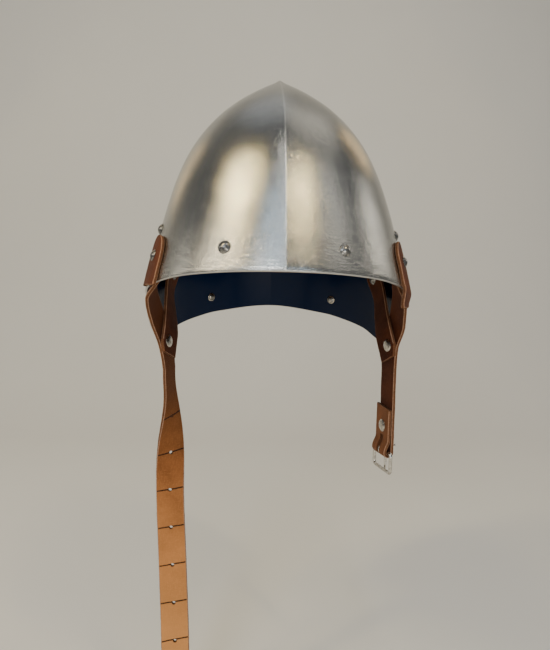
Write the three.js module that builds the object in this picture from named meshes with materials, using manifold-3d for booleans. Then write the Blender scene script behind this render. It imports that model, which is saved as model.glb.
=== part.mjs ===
// A bascinet: a pointed steel skull with a medial keel, a leather suspension liner,
// and a leather chin strap in two halves, one punched with holes and one with a buckle.
// Millimetres, +Z up, the brow faces -Y. Heights below are measured from the brow edge.
import * as THREE from "three";
import Module from "manifold-3d";

const wasm = await Module();
wasm.setup();

// Skull plate
const skullHalfWidth = 118;
const skullHalfLength = 131;
const apexHeight = 174;
const apexSetback = 25;
const rimDrop = 57;
const plateThickness = 1.8;
const domeFullness = 6.8;
const domeSharpness = 1.2;
const setbackPower = 1.6;
const keelPower = 3;
const taperShare = 0.43;
const keelShare = 0.034;

// How far the rim lies below the brow, from the brow round one side to the back:
// share of the half turn, share of the rim drop.
const rimShares = [
  [0, 0], [0.2, 0.04], [0.38, 0.18], [0.43, 0.24], [0.49, 0.34], [0.55, 0.67],
  [0.63, 1], [0.7, 0.8], [0.77, 0.665], [0.83, 0.58], [1, 0.46],
];

// Liner
const linerThickness = 2;
const bandWidth = 26;
const bandFrontHeight = 13.5;
const bandRiseShares = [0.16, 0.36];
const tongueCount = 8;
const tongueTopHeight = 146;
const tongueCrownGap = 22;
const tongueSewnOverlap = 5;
const tongueWidthShare = 0.74;
const crownDiscLap = 3.2;
const crownDiscThickness = 3;

// Leather strapping
const strapThickness = 3;
const strapWidth = 23;
const tabWidth = 28;
const tabTopHeight = 27;
const leftTabBelowRim = 13;
const rightTabBelowRim = 5.5;
const leftTabCurl = 5;
const rightTabCurl = 0;
const strapTwistAngle = 12;
const legTopHeight = 19;
const legExitHeight = -13;
const legExitSetback = -32;
const legFootHeight = 4;
const legLeanAngle = 24;
const legTwistHeights = [-26, 0];
const rearLegTopAngle = 112.5;
const rearLegTopHeight = 13;
const rearLegFootAngle = 108;
const rearLegFootHeight = -5;
const rearLegLeanAngle = 26;
const rearLegTail = 12;
const rearLegTwistHeights = [-44, -6];
const junctionHeight = -56;
const junctionSetback = -3.5;
const junctionRivetForward = 3;
const junctionParallelRun = 24;
const hingeHeight = -79;

// Distance of each strap from the middle plane, as a share of the skull's half width: where its
// front leg leaves the rim, and where it hangs below the junction of its two legs. The straps
// hang unevenly, and the outer tabs end and curl differently.
const straps = [
  { word: "left", side: 1, exitShare: 0.82203390, hangShare: 0.83728814,
    tabBelowRim: leftTabBelowRim, tabCurl: leftTabCurl },
  { word: "right", side: -1, exitShare: 0.83474576, hangShare: 0.75847458,
    tabBelowRim: rightTabBelowRim, tabCurl: rightTabCurl },
];

// Punched strap
const holePitch = 31;
const holeCount = 8;
const holeRadius = 1.5;
const firstHoleHeight = -118.5;
const strapTipRun = 34;
const punchedTwistAngle = 90;
const punchedTwistDrops = [12, 104];
const punchedLeanForward = 26;
const punchedLeanInward = 12;

// How the punched strap comes inward: share of its length, share of the lean.
const leanShares = [[0, 0], [0.13, 0.22], [0.35, 0.27], [0.56, 0.57], [0.79, 0.88], [1, 1]];

// Buckle strap and buckle
const buckleBarHeight = -147;
const foldTabHeight = -109.5;
const foldTabSlope = 1.5;
const foldPinchRun = 11;
const buckleRivetHeight = -126;
const prongSlotWidth = 5;
const prongSlotAbove = 13.5;
const wireRadius = 1.5;
const frameWidth = 33;
const frameLength = 17;
const frameCornerRadius = 3;
const prongRadius = 1.2;
const prongTailLength = 12;

// Rivets
const rivetHeadRadius = 4.5;
const rivetHeadHeight = 2.6;
const capRadius = 5.4;
const capHeight = 1.5;
const shankRadius = 2;
const tailRadius = 3.4;
const tailHeight = 1.3;
const washerRadius = 4.2;
const washerThickness = 0.9;

// Rivet places on the skull: angle from the brow, height
const frontRivetAngle = 22.7;
const frontRivetHeight = 14.9;
const sideRivetAngle = 71;
const sideRivetAboveTab = 7;
const sideRivetHeight = tabTopHeight + sideRivetAboveTab;
const bandSideHeight = sideRivetHeight;
const rearLinerRivetAngle = 146;
const backRivetAngle = 144;
const backRivetHeight = -18.5;
const tabRivetAngle = 63.5;
const tabRivetHeight = 11.5;
const rearLegRivetAngle = 110;
const rearLegRivetHeight = 3;

// Clearances
const seat = 0.3;
const concaveAllowance = 0.9;
const bandAllowance = 0.4;
const discAllowance = 0.3;
const holeClearance = 0.35;
const overrun = 2;
const probe = 0.05;

// Mesh fineness
const skullColumns = 64;
const skullRows = 13;
const rowCrowding = 1.6;
const bandColumns = 48;
const strapSteps = 16;
const punchedSteps = 26;
const tongueColumns = 4;
const tongueRows = 6;
const roundSides = 12;
const discSides = 24;
const wireSides = 10;
const loopSteps = 8;
const cornerSteps = 4;
const weldStep = 0.0001;

// Where the rows and columns of a form lie, as shares of its reach from one end to the other
const tailShares = [0.5, 0.85, 1];
const headShares = [0.85, 0.55, 0];
const tailPower = 3;
const headPower = 2.4;
const bandRowShares = [-0.5, 0, 0.5];
const tabColumnShares = [-1, -0.5, 0, 0.5, 1];
const tabLowShares = [0, 0.5, 1];
const tabWallShares = [0.35, 0.7, 1];
const tabEndShares = [0.35, 0.65, 0.88, 1];
const strapTopShares = [0.98, 0.8, 0.45];
const foldShares = [0.25, 0.5, 0.75, 1];

const radians = THREE.MathUtils.degToRad;
const along = THREE.MathUtils.lerp;
const up = new THREE.Vector3(0, 0, 1);

const steel = { color: 0x9c9d97, roughness: 0.34, metalness: 1 };
const nickel = { color: 0xd0ccc2, roughness: 0.28, metalness: 1 };
const leather = { color: 0x8a4a2a, roughness: 0.72, metalness: 0 };
const linerLeather = { color: 0x7a4a2c, roughness: 0.8, metalness: 0 };

function smooth(low, high, value) {
  return THREE.MathUtils.smoothstep(value, low, high);
}

// Smooth curve through a table of [place, value] shares.
function tableValue(table, place) {
  let k = 0;
  while (k < table.length - 2 && place > table[k + 1][0]) {
    k += 1;
  }
  const slope = (i) => {
    const a = table[Math.max(i - 1, 0)];
    const b = table[Math.min(i + 1, table.length - 1)];
    return i === 0 || i === table.length - 1 ? 0 : (b[1] - a[1]) / (b[0] - a[0]);
  };
  const [x0, y0] = table[k];
  const [x1, y1] = table[k + 1];
  const span = x1 - x0;
  const t = THREE.MathUtils.clamp((place - x0) / span, 0, 1);
  const t2 = t * t;
  const t3 = t2 * t;
  return (2 * t3 - 3 * t2 + 1) * y0 + (t3 - 2 * t2 + t) * span * slope(k)
    + (3 * t2 - 2 * t3) * y1 + (t3 - t2) * span * slope(k + 1);
}

// Collects triangles, sharing the vertices that coincide, and turns them to face out.
class Facets {
  constructor() {
    this.points = [];
    this.known = new Map();
    this.index = [];
  }

  vertex(p) {
    const key = [p.x, p.y, p.z].map((c) => Math.round(c / weldStep)).join(" ");
    if (!this.known.has(key)) {
      this.known.set(key, this.points.length);
      this.points.push(p.clone());
    }
    return this.known.get(key);
  }

  triangle(a, b, c) {
    const ids = [this.vertex(a), this.vertex(b), this.vertex(c)];
    if (new Set(ids).size === 3) {
      this.index.push(...ids);
    }
  }

  quad(a, b, c, d) {
    this.triangle(a, b, c);
    this.triangle(a, c, d);
  }

  volume() {
    let sum = 0;
    for (let i = 0; i < this.index.length; i += 3) {
      const [a, b, c] = [0, 1, 2].map((k) => this.points[this.index[i + k]]);
      sum += a.dot(new THREE.Vector3().crossVectors(b, c));
    }
    return sum;
  }

  geometry() {
    const index = this.volume() < 0 ? this.index.slice().reverse() : this.index;
    const shape = new THREE.BufferGeometry();
    shape.setAttribute("position", new THREE.Float32BufferAttribute(
      this.points.flatMap((p) => [p.x, p.y, p.z]), 3));
    shape.setIndex(index);
    return shape;
  }
}

// A sheet with two faces: rows of [outer, inner] point pairs. A wrapped sheet closes on itself.
function sheetGeometry(rows, wraps = false) {
  const facets = new Facets();
  const columns = rows[0].length;
  const spans = wraps ? columns : columns - 1;
  for (let i = 0; i < rows.length - 1; i += 1) {
    for (let j = 0; j < spans; j += 1) {
      const k = (j + 1) % columns;
      facets.quad(rows[i][j][0], rows[i][k][0], rows[i + 1][k][0], rows[i + 1][j][0]);
      facets.quad(rows[i][k][1], rows[i][j][1], rows[i + 1][j][1], rows[i + 1][k][1]);
    }
    if (!wraps) {
      const last = columns - 1;
      facets.quad(rows[i][0][1], rows[i][0][0], rows[i + 1][0][0], rows[i + 1][0][1]);
      facets.quad(rows[i][last][0], rows[i][last][1], rows[i + 1][last][1], rows[i + 1][last][0]);
    }
  }
  const end = rows.length - 1;
  for (let j = 0; j < spans; j += 1) {
    const k = (j + 1) % columns;
    facets.quad(rows[0][j][1], rows[0][k][1], rows[0][k][0], rows[0][j][0]);
    facets.quad(rows[end][j][0], rows[end][k][0], rows[end][k][1], rows[end][j][1]);
  }
  return facets.geometry();
}

function toSolid(geometry) {
  const facets = new Facets();
  const flat = geometry.index ? geometry.toNonIndexed() : geometry;
  const place = flat.getAttribute("position");
  for (let i = 0; i < place.count; i += 3) {
    const corners = [0, 1, 2].map((k) => new THREE.Vector3().fromBufferAttribute(place, i + k));
    facets.triangle(...corners);
  }
  const shape = facets.geometry();
  return new wasm.Manifold(new wasm.Mesh({
    numProp: 3,
    vertProperties: shape.getAttribute("position").array,
    triVerts: new Uint32Array(shape.index.array),
  }));
}

function toGeometry(solid) {
  const mesh = solid.getMesh();
  const shape = new THREE.BufferGeometry();
  shape.setAttribute("position", new THREE.Float32BufferAttribute(mesh.vertProperties, 3));
  shape.setIndex(Array.from(mesh.triVerts));
  return shape;
}

function cut(geometry, cutters) {
  return toGeometry(cutters.reduce((solid, c) => solid.subtract(toSolid(c)), toSolid(geometry)));
}

function join(geometries) {
  return toGeometry(geometries.map(toSolid).reduce((a, b) => a.add(b)));
}

// The skull

function rimHeight(turn) {
  const half = Math.abs(Math.atan2(Math.sin(turn), Math.cos(turn))) / Math.PI;
  return -rimDrop * tableValue(rimShares, half);
}

// A point of the skull's outer face. The turn is measured from the brow, +X first.
function skullFace(turn, height) {
  const rise = THREE.MathUtils.clamp((height + rimDrop) / (apexHeight + rimDrop), 0, 1);
  const girth = (1 - rise ** domeFullness) ** domeSharpness * (1 - taperShare * rise);
  const keel = 1 + keelShare * (1 - Math.abs(Math.sin(turn))) ** keelPower;
  return new THREE.Vector3(
    skullHalfWidth * girth * Math.sin(turn),
    apexSetback * rise ** setbackPower - skullHalfLength * girth * keel * Math.cos(turn),
    height,
  );
}

function skullNormal(turn, height) {
  const step = probe / skullHalfWidth;
  const round = skullFace(turn + step, height).sub(skullFace(turn - step, height));
  const rise = skullFace(turn, height + probe).sub(skullFace(turn, height - probe));
  return round.cross(rise).normalize();
}

function skullPoint(turn, height, offset) {
  return skullFace(turn, height).addScaledVector(skullNormal(turn, height), offset);
}

// The turn that lies a given distance round the skull from another.
function turnAside(turn, height, distance) {
  const step = probe / skullHalfWidth;
  const reach = skullFace(turn + step, height).distanceTo(skullFace(turn - step, height));
  return turn + distance * 2 * step / reach;
}

function skullShell() {
  const rows = [];
  for (let i = 0; i < skullRows; i += 1) {
    const climb = 1 - (1 - i / skullRows) ** rowCrowding;
    rows.push(Array.from({ length: skullColumns }, (_, j) => {
      const turn = j / skullColumns * 2 * Math.PI;
      const height = along(rimHeight(turn), apexHeight, climb);
      return [skullFace(turn, height), skullPoint(turn, height, -plateThickness)];
    }));
  }
  const apex = new THREE.Vector3(0, apexSetback, apexHeight);
  const under = apex.clone().addScaledVector(up, -plateThickness);
  rows.push(Array.from({ length: skullColumns }, () => [apex, under]));
  return cut(sheetGeometry(rows, true), skullRivets().map((r) => rivetHole(r)));
}

// Rivets

// Layers of leather, steel and washer that a skull rivet passes, each with its seat gap.
function layers(...thicknesses) {
  return thicknesses.reduce((sum, t) => sum + t + seat, 0);
}

function skullRivets() {
  const low = { head: rivetHeadRadius, headHeight: rivetHeadHeight, outside: 0 };
  const cap = { head: capRadius, headHeight: capHeight, tail: capRadius, tailHeight: capHeight };
  const kinds = [
    { name: "front_rivet", angle: frontRivetAngle, height: frontRivetHeight, ...low,
      inside: layers(linerThickness) + bandAllowance, washer: true },
    { name: "side_rivet", angle: sideRivetAngle, height: sideRivetHeight, ...low,
      inside: layers(linerThickness) + bandAllowance, washer: true },
    { name: "rear_liner_rivet", angle: rearLinerRivetAngle, height: bandSideHeight, ...low,
      inside: layers(linerThickness) + bandAllowance, washer: true },
    { name: "back_rivet", angle: backRivetAngle, height: backRivetHeight, ...low,
      inside: 0, washer: true },
    { name: "tab_rivet", angle: tabRivetAngle, height: tabRivetHeight, ...low, ...cap,
      head: rivetHeadRadius, headHeight: rivetHeadHeight,
      outside: layers(strapThickness), inside: layers(strapThickness) + concaveAllowance },
    { name: "rear_leg_rivet", angle: rearLegRivetAngle, height: rearLegRivetHeight, ...low, ...cap,
      head: rivetHeadRadius, headHeight: rivetHeadHeight,
      inside: layers(strapThickness) + concaveAllowance },
  ];
  return kinds.flatMap((kind) => [1, -1].map((side) => ({
    tail: tailRadius, tailHeight, ...kind, side, turn: side * radians(kind.angle),
    name: `${kind.name}_${side > 0 ? "left" : "right"}`,
  })));
}

// A headed pin about +Y: domed head above zero, tail below the grip.
function rivetGeometry(head, headHeight, grip, tail, tailRise) {
  const profile = [[0, -grip - tailRise]];
  for (const step of tailShares) {
    profile.push([tail * step, -grip - tailRise * (1 - step ** tailPower)]);
  }
  profile.push([shankRadius, -grip], [shankRadius, 0], [head, 0]);
  for (const step of headShares) {
    profile.push([head * step, headHeight * (1 - step ** headPower)]);
  }
  return new THREE.LatheGeometry(profile.map(([x, y]) => new THREE.Vector2(x, y)), roundSides);
}

function facing(normal) {
  return new THREE.Quaternion().setFromUnitVectors(new THREE.Vector3(0, 1, 0), normal);
}

function rivetHole(rivet) {
  const reach = plateThickness + rivet.outside + rivet.inside + tailHeight * 2 + rivetHeadHeight * 2;
  const hole = new THREE.CylinderGeometry(shankRadius + holeClearance, shankRadius + holeClearance,
    reach * 2, roundSides);
  const normal = skullNormal(rivet.turn, rivet.height);
  hole.applyQuaternion(facing(normal));
  const centre = skullFace(rivet.turn, rivet.height);
  return hole.translate(centre.x, centre.y, centre.z);
}

function rivetMesh(rivet) {
  const washer = rivet.washer ? washerThickness + seat : 0;
  const grip = seat + rivet.outside + plateThickness + seat + rivet.inside + washer;
  const shape = rivetGeometry(rivet.head, rivet.headHeight, grip, rivet.tail, rivet.tailHeight);
  const normal = skullNormal(rivet.turn, rivet.height);
  const at = skullPoint(rivet.turn, rivet.height, seat + rivet.outside);
  return placed(rivet.name, shape, nickel, at, facing(normal));
}

function washerMesh(rivet) {
  const hole = shankRadius + holeClearance;
  const profile = [[hole, 0], [washerRadius, 0], [washerRadius, washerThickness],
    [hole, washerThickness], [hole, 0]].map(([x, y]) => new THREE.Vector2(x, y));
  const shape = new THREE.LatheGeometry(profile, roundSides);
  const depth = plateThickness + seat + rivet.inside + washerThickness;
  return placed(rivet.name.replace("rivet", "washer"), shape, nickel,
    skullPoint(rivet.turn, rivet.height, -depth), facing(skullNormal(rivet.turn, rivet.height)));
}

function placed(name, geometry, finish, at = new THREE.Vector3(), turn = new THREE.Quaternion()) {
  const mesh = new THREE.Mesh(geometry, new THREE.MeshStandardMaterial(finish));
  mesh.name = name;
  mesh.position.copy(at);
  mesh.quaternion.copy(turn);
  return mesh;
}

// Liner

function bandHeight(turn) {
  const half = Math.abs(Math.atan2(Math.sin(turn), Math.cos(turn))) / Math.PI;
  return along(bandFrontHeight, bandSideHeight, smooth(...bandRiseShares, half));
}

function linerBand() {
  const outer = -plateThickness - seat;
  const rows = bandRowShares.map((part) => Array.from({ length: bandColumns }, (_, j) => {
    const turn = j / bandColumns * 2 * Math.PI;
    const height = bandHeight(turn) + part * bandWidth;
    return [skullPoint(turn, height, outer), skullPoint(turn, height, outer - linerThickness)];
  }));
  const holes = skullRivets().filter((r) => r.washer && r.inside).map((r) => rivetHole(r));
  return cut(sheetGeometry(rows, true), holes);
}

// Tongues stand on the inner face of the band and draw in under the crown.
function tonguePoint(turn, climb, offset) {
  const base = bandHeight(turn) + bandWidth / 2 - tongueSewnOverlap;
  const height = along(base, tongueTopHeight, climb);
  const depth = plateThickness + 2 * seat + linerThickness + seat
    + (tongueCrownGap - linerThickness) * climb ** 2;
  return skullPoint(turn, height, -depth - offset);
}

function linerTongue(number) {
  const pitch = 2 * Math.PI / tongueCount;
  const middle = (number + 0.5) * pitch;
  const rows = [];
  for (let i = 0; i <= tongueRows; i += 1) {
    const row = [];
    for (let j = 0; j <= tongueColumns; j += 1) {
      const turn = middle + (j / tongueColumns - 0.5) * pitch * tongueWidthShare;
      const climb = i / tongueRows;
      row.push([tonguePoint(turn, climb, 0), tonguePoint(turn, climb, linerThickness)]);
    }
    rows.push(row);
  }
  return sheetGeometry(rows);
}

function crownCentre() {
  return new THREE.Vector3(0, skullFace(Math.PI / 2, tongueTopHeight).y, 0);
}

function crownTurns() {
  return Array.from({ length: skullColumns + 1 }, (_, i) => i / skullColumns * 2 * Math.PI);
}

// The disc reaches past the ends of all the tongues.
function crownDiscRadius() {
  const centre = crownCentre();
  const reaches = crownTurns().map((turn) => {
    const p = tonguePoint(turn, 1, linerThickness);
    return Math.hypot(p.x - centre.x, p.y - centre.y);
  });
  return Math.max(...reaches) + crownDiscLap;
}

// The disc hangs flat below the lowest point that the tongues have over its edge.
function crownSeat() {
  const centre = crownCentre();
  const radius = crownDiscRadius();
  let lowest = apexHeight;
  for (const turn of crownTurns()) {
    let low = 0;
    let high = 1;
    for (let halving = 0; halving < skullColumns; halving += 1) {
      const middle = (low + high) / 2;
      const p = tonguePoint(turn, middle, linerThickness);
      const outside = Math.hypot(p.x - centre.x, p.y - centre.y) > radius;
      low = outside ? middle : low;
      high = outside ? high : middle;
    }
    lowest = Math.min(lowest, tonguePoint(turn, low, linerThickness).z);
  }
  centre.z = lowest - seat - discAllowance - crownDiscThickness;
  return centre;
}

function crownDisc() {
  const radius = crownDiscRadius();
  const disc = new THREE.CylinderGeometry(radius, radius, crownDiscThickness, discSides);
  disc.rotateX(Math.PI / 2);
  const centre = crownSeat();
  return disc.translate(centre.x, centre.y, centre.z + crownDiscThickness / 2);
}

// Straps

// A flat strip through stations, each with a place, an across direction and a face normal.
function ribbon(stations) {
  return sheetGeometry(stations.map((s) => [-1, 0, 1].map((side) => {
    const edge = s.at.clone().addScaledVector(s.across, side * s.half);
    if (s.slope) {
      edge.addScaledVector(s.slope, side);
    }
    return [1, -1].map((face) => edge.clone().addScaledVector(s.normal, face * s.thick / 2));
  })));
}

// Stations along a curve. The normal follows a function of the share of the way.
function stationsAlong(curve, count, normalAt, widthAt) {
  return Array.from({ length: count + 1 }, (_, i) => {
    const way = i / count;
    const at = curve.getPointAt(way);
    const tangent = curve.getTangentAt(way);
    const across = new THREE.Vector3().crossVectors(tangent, normalAt(at)).normalize();
    const normal = new THREE.Vector3().crossVectors(across, tangent).normalize();
    return { at, across, normal, half: widthAt(way), thick: strapThickness };
  });
}

// Half width near a round end: full width beyond one half width from it.
function roundEnd(distance, half) {
  const inside = THREE.MathUtils.clamp(1 - distance / half, 0, 1);
  return half * Math.sqrt(1 - inside ** 2);
}

// A leather tab outside the skull, round at the top. Its square end passes the rim and may
// curl inward below it.
function outerTab(strap) {
  const half = tabWidth / 2;
  const middle = strap.side * radians(tabRivetAngle);
  const bottom = rimHeight(middle) - strap.tabBelowRim;
  const shoulder = tabTopHeight - half;
  const faces = (turn, height, under) => [
    skullPoint(turn, height, under + strapThickness), skullPoint(turn, height, under)];
  const low = tabLowShares.map((share) => tabColumnShares.map((part) => {
    const turn = turnAside(middle, bottom, part * half);
    const height = along(bottom, rimHeight(turn) - seat, share);
    return faces(turn, height, seat - strap.tabCurl * smooth(0, 1, 1 - share));
  }));
  const wall = tabWallShares.map((share) => tabColumnShares.map((part) => {
    const turn = turnAside(middle, shoulder, part * half);
    return faces(turn, along(rimHeight(turn) - seat, shoulder, share), seat);
  }));
  const top = tabEndShares.map((share) => tabColumnShares.map((part) => {
    const height = along(shoulder, tabTopHeight, share);
    return faces(turnAside(middle, height, part * roundEnd(tabTopHeight - height, half)), height, seat);
  }));
  return cut(sheetGeometry([...low, ...wall, ...top]), tabRivetHoles(strap.side));
}

function tabRivetHoles(side) {
  return skullRivets().filter((r) => r.side === side && r.name.startsWith("tab")).map(rivetHole);
}

// Middle of a strap that lies against the inner face of the skull.
function onWall(side, angle, height) {
  const depth = plateThickness + seat + concaveAllowance + strapThickness / 2;
  return skullPoint(side * radians(angle), height, -depth);
}

// Directions of a hanging strap that has turned its inner face towards the front.
function acrossAfter(side, turned) {
  return new THREE.Vector3(side * Math.sin(turned), -Math.cos(turned), 0);
}

function outAfter(side, turned) {
  return new THREE.Vector3(side * Math.cos(turned), Math.sin(turned), 0);
}

function strapOut(side) {
  return outAfter(side, radians(strapTwistAngle));
}

// Direction up a leg that leans forward within the plane of the strap.
function leanOf(side, angle) {
  return up.clone().multiplyScalar(Math.cos(radians(angle)))
    .addScaledVector(acrossAfter(side, radians(strapTwistAngle)), Math.sin(radians(angle)));
}

// Middle of the stack of legs at the junction: layer 0 is the front leg, 1 the rear leg.
function junctionPoint(strap, layer) {
  const at = new THREE.Vector3(strap.side * skullHalfWidth * strap.hangShare, junctionSetback, junctionHeight);
  return at.addScaledVector(strapOut(strap.side), -layer * (strapThickness + seat));
}

// Outward normal of a leg: that of the wall above, that of the turned strap below.
function legNormal(side, wallNormal, heights) {
  const out = strapOut(side);
  return (at) => out.clone().lerp(wallNormal, smooth(...heights, at.z)).normalize();
}

function frontLeg(strap) {
  const { side } = strap;
  const junction = junctionPoint(strap, 0);
  const exit = new THREE.Vector3(side * skullHalfWidth * strap.exitShare, legExitSetback, legExitHeight);
  const end = hingePoint(strap).addScaledVector(up, strapThickness / 2 + seat);
  const curve = new THREE.CatmullRomCurve3([
    onWall(side, tabRivetAngle, legTopHeight),
    onWall(side, tabRivetAngle, tabRivetHeight),
    onWall(side, tabRivetAngle, legFootHeight),
    exit,
    junction.clone().addScaledVector(leanOf(side, legLeanAngle), junctionParallelRun),
    junction,
    end,
  ]);
  const length = curve.getLength();
  const wall = skullNormal(side * radians(tabRivetAngle), tabRivetHeight);
  const stations = stationsAlong(curve, strapSteps, legNormal(side, wall, legTwistHeights),
    (way) => roundEnd(way * length, strapWidth / 2));
  return cut(ribbon(stations), [...tabRivetHoles(side), junctionHole(strap)]);
}

function rearLeg(strap) {
  const { side } = strap;
  const junction = junctionPoint(strap, 1);
  const lead = leanOf(side, -rearLegLeanAngle);
  const curve = new THREE.CatmullRomCurve3([
    onWall(side, rearLegTopAngle, rearLegTopHeight),
    onWall(side, rearLegRivetAngle, rearLegRivetHeight),
    onWall(side, rearLegFootAngle, rearLegFootHeight),
    junction.clone().addScaledVector(lead, junctionParallelRun),
    junction,
    junction.clone().addScaledVector(lead, -rearLegTail),
  ]);
  const length = curve.getLength();
  const wall = skullNormal(side * radians(rearLegRivetAngle), rearLegRivetHeight);
  const stations = stationsAlong(curve, strapSteps, legNormal(side, wall, rearLegTwistHeights),
    (way) => roundEnd(way * length, strapWidth / 2));
  const holes = skullRivets().filter((r) => r.side === side && r.name.startsWith("rear_leg"));
  return cut(ribbon(stations), [...holes.map(rivetHole), junctionHole(strap), flushTrim(strap)]);
}

// The corner of the rear leg that would stand past the front edge of the strap is cut off.
function flushTrim(strap) {
  const size = strapWidth * 2;
  const block = new THREE.BoxGeometry(size, size, size);
  block.translate(0, -(strapWidth + size) / 2, 0);
  block.rotateZ(strap.side * radians(strapTwistAngle));
  const centre = junctionPoint(strap, 1);
  return block.translate(centre.x, centre.y, centre.z);
}

function acrossHole(centre, direction, radius) {
  const hole = new THREE.CylinderGeometry(radius, radius, strapWidth, roundSides);
  hole.applyQuaternion(facing(direction));
  return hole.translate(centre.x, centre.y, centre.z);
}

// The rivet sits a little forward of the middle of the strap.
function junctionRivetPlace(strap, layer) {
  return junctionPoint(strap, layer)
    .addScaledVector(acrossAfter(strap.side, radians(strapTwistAngle)), junctionRivetForward);
}

function junctionHole(strap) {
  return acrossHole(junctionRivetPlace(strap, 0), strapOut(strap.side),
    shankRadius + holeClearance);
}

function junctionRivet(strap) {
  const grip = 2 * strapThickness + 3 * seat;
  const out = strapOut(strap.side);
  return placed(`junction_rivet_${strap.word}`,
    rivetGeometry(capRadius, capHeight, grip, capRadius, capHeight), nickel,
    junctionRivetPlace(strap, 0).addScaledVector(out, strapThickness / 2 + seat), facing(out));
}

// Stations that round off the top of a hanging strap about its hinge line.
function roundedTop(strap) {
  const half = strapWidth / 2;
  return strapTopShares.map((part) => ({
    at: hingePoint(strap).addScaledVector(up, part * strapThickness / 2),
    across: acrossAfter(strap.side, radians(strapTwistAngle)),
    normal: strapOut(strap.side),
    half,
    thick: strapThickness * Math.sqrt(1 - part ** 2),
  }));
}

function hingePoint(strap) {
  return new THREE.Vector3(strap.side * skullHalfWidth * strap.hangShare, junctionSetback, hingeHeight);
}

// The punched half of the chin strap hangs, turns to face the front and leans forward.
function punchedLength() {
  return hingeHeight - firstHoleHeight + holePitch * (holeCount - 1) + strapTipRun;
}

function punchedPlace(strap, drop) {
  const way = drop / punchedLength();
  const at = hingePoint(strap);
  at.x -= strap.side * punchedLeanInward * tableValue(leanShares, way);
  at.y -= punchedLeanForward * way;
  at.z -= drop;
  const turned = radians(along(strapTwistAngle, punchedTwistAngle,
    smooth(...punchedTwistDrops, drop)));
  return { at, across: acrossAfter(strap.side, turned), normal: outAfter(strap.side, turned) };
}

function punchedStrap(strap) {
  const stations = roundedTop(strap);
  for (let i = 0; i <= punchedSteps; i += 1) {
    const drop = punchedLength() * i / punchedSteps;
    const half = Math.max(pointedEnd(punchedLength() - drop, strapWidth / 2), holeRadius);
    stations.push({ ...punchedPlace(strap, drop), half, thick: strapThickness });
  }
  const holes = Array.from({ length: holeCount }, (_, i) => {
    const drop = hingeHeight - firstHoleHeight + holePitch * i;
    const { at, normal } = punchedPlace(strap, drop);
    return acrossHole(at, normal, holeRadius);
  });
  return cut(ribbon(stations), holes);
}

// A strap point: sides draw in along a curve over the last two half widths.
function pointedEnd(distance, half) {
  const inside = THREE.MathUtils.clamp(1 - distance / (2 * half), 0, 1);
  return half * (1 - inside ** 2);
}

// Buckle strap: straight run, loop round the bar, and the end riveted back on the inside.

const buckleSide = straps[0];
const loopRadius = wireRadius + seat + strapThickness / 2;

function bucklePlace(out, height) {
  return hingePoint(buckleSide).addScaledVector(strapOut(buckleSide.side), out).setZ(height);
}

function buckleStrap() {
  const across = acrossAfter(buckleSide.side, radians(strapTwistAngle));
  const out = strapOut(buckleSide.side);
  const inner = out.clone().negate();
  const common = { across, half: strapWidth / 2, thick: strapThickness };
  const stations = [...roundedTop(buckleSide), { ...common, at: bucklePlace(0, hingeHeight),
    normal: out }];
  for (let i = 0; i <= loopSteps; i += 1) {
    const turned = Math.PI * i / loopSteps;
    stations.push({
      ...common,
      at: bucklePlace(loopRadius * (Math.cos(turned) - 1),
        buckleBarHeight - loopRadius * Math.sin(turned)),
      normal: out.clone().multiplyScalar(Math.cos(turned)).addScaledVector(up, -Math.sin(turned)),
    });
  }
  const pinch = 2 * loopRadius - strapThickness - seat;
  for (const step of foldShares) {
    stations.push({
      ...common,
      at: bucklePlace(-2 * loopRadius + pinch * smooth(0, 1, step),
        buckleBarHeight + foldPinchRun * step),
      normal: inner,
    });
  }
  stations.push({ ...common, at: bucklePlace(-strapThickness - seat, foldTabHeight),
    normal: inner, slope: up.clone().multiplyScalar(-foldTabSlope) });
  return cut(ribbon(stations), [prongSlot(), buckleRivetHole()]);
}

function buckleTurn() {
  const out = strapOut(buckleSide.side);
  const back = acrossAfter(buckleSide.side, radians(strapTwistAngle)).negate();
  return new THREE.Quaternion().setFromRotationMatrix(new THREE.Matrix4().makeBasis(out, back, up));
}

function prongSlot() {
  const below = loopRadius + strapThickness + overrun;
  const slot = new THREE.BoxGeometry(4 * loopRadius + 2 * strapThickness, prongSlotWidth,
    prongSlotAbove + below);
  slot.applyQuaternion(buckleTurn());
  const middle = bucklePlace(-loopRadius, buckleBarHeight + (prongSlotAbove - below) / 2);
  return slot.translate(middle.x, middle.y, middle.z);
}

function buckleRivetHole() {
  return acrossHole(bucklePlace(-(strapThickness + seat) / 2, buckleRivetHeight),
    strapOut(buckleSide.side), shankRadius + holeClearance);
}

function buckleRivet() {
  const grip = 2 * strapThickness + 3 * seat;
  return placed("buckle_rivet", rivetGeometry(capRadius, capHeight, grip, capRadius, capHeight),
    nickel, bucklePlace(strapThickness / 2 + seat, buckleRivetHeight),
    facing(strapOut(buckleSide.side)));
}

// Buckle, in its own frame: X out, Y along the bar to the back, Z up, the bar at zero.

function rod(from, to, radius, sides) {
  const length = from.distanceTo(to);
  const shape = new THREE.CylinderGeometry(radius, radius, length, sides);
  shape.applyQuaternion(facing(to.clone().sub(from).normalize()));
  const middle = from.clone().lerp(to, 0.5);
  return shape.translate(middle.x, middle.y, middle.z);
}

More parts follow.
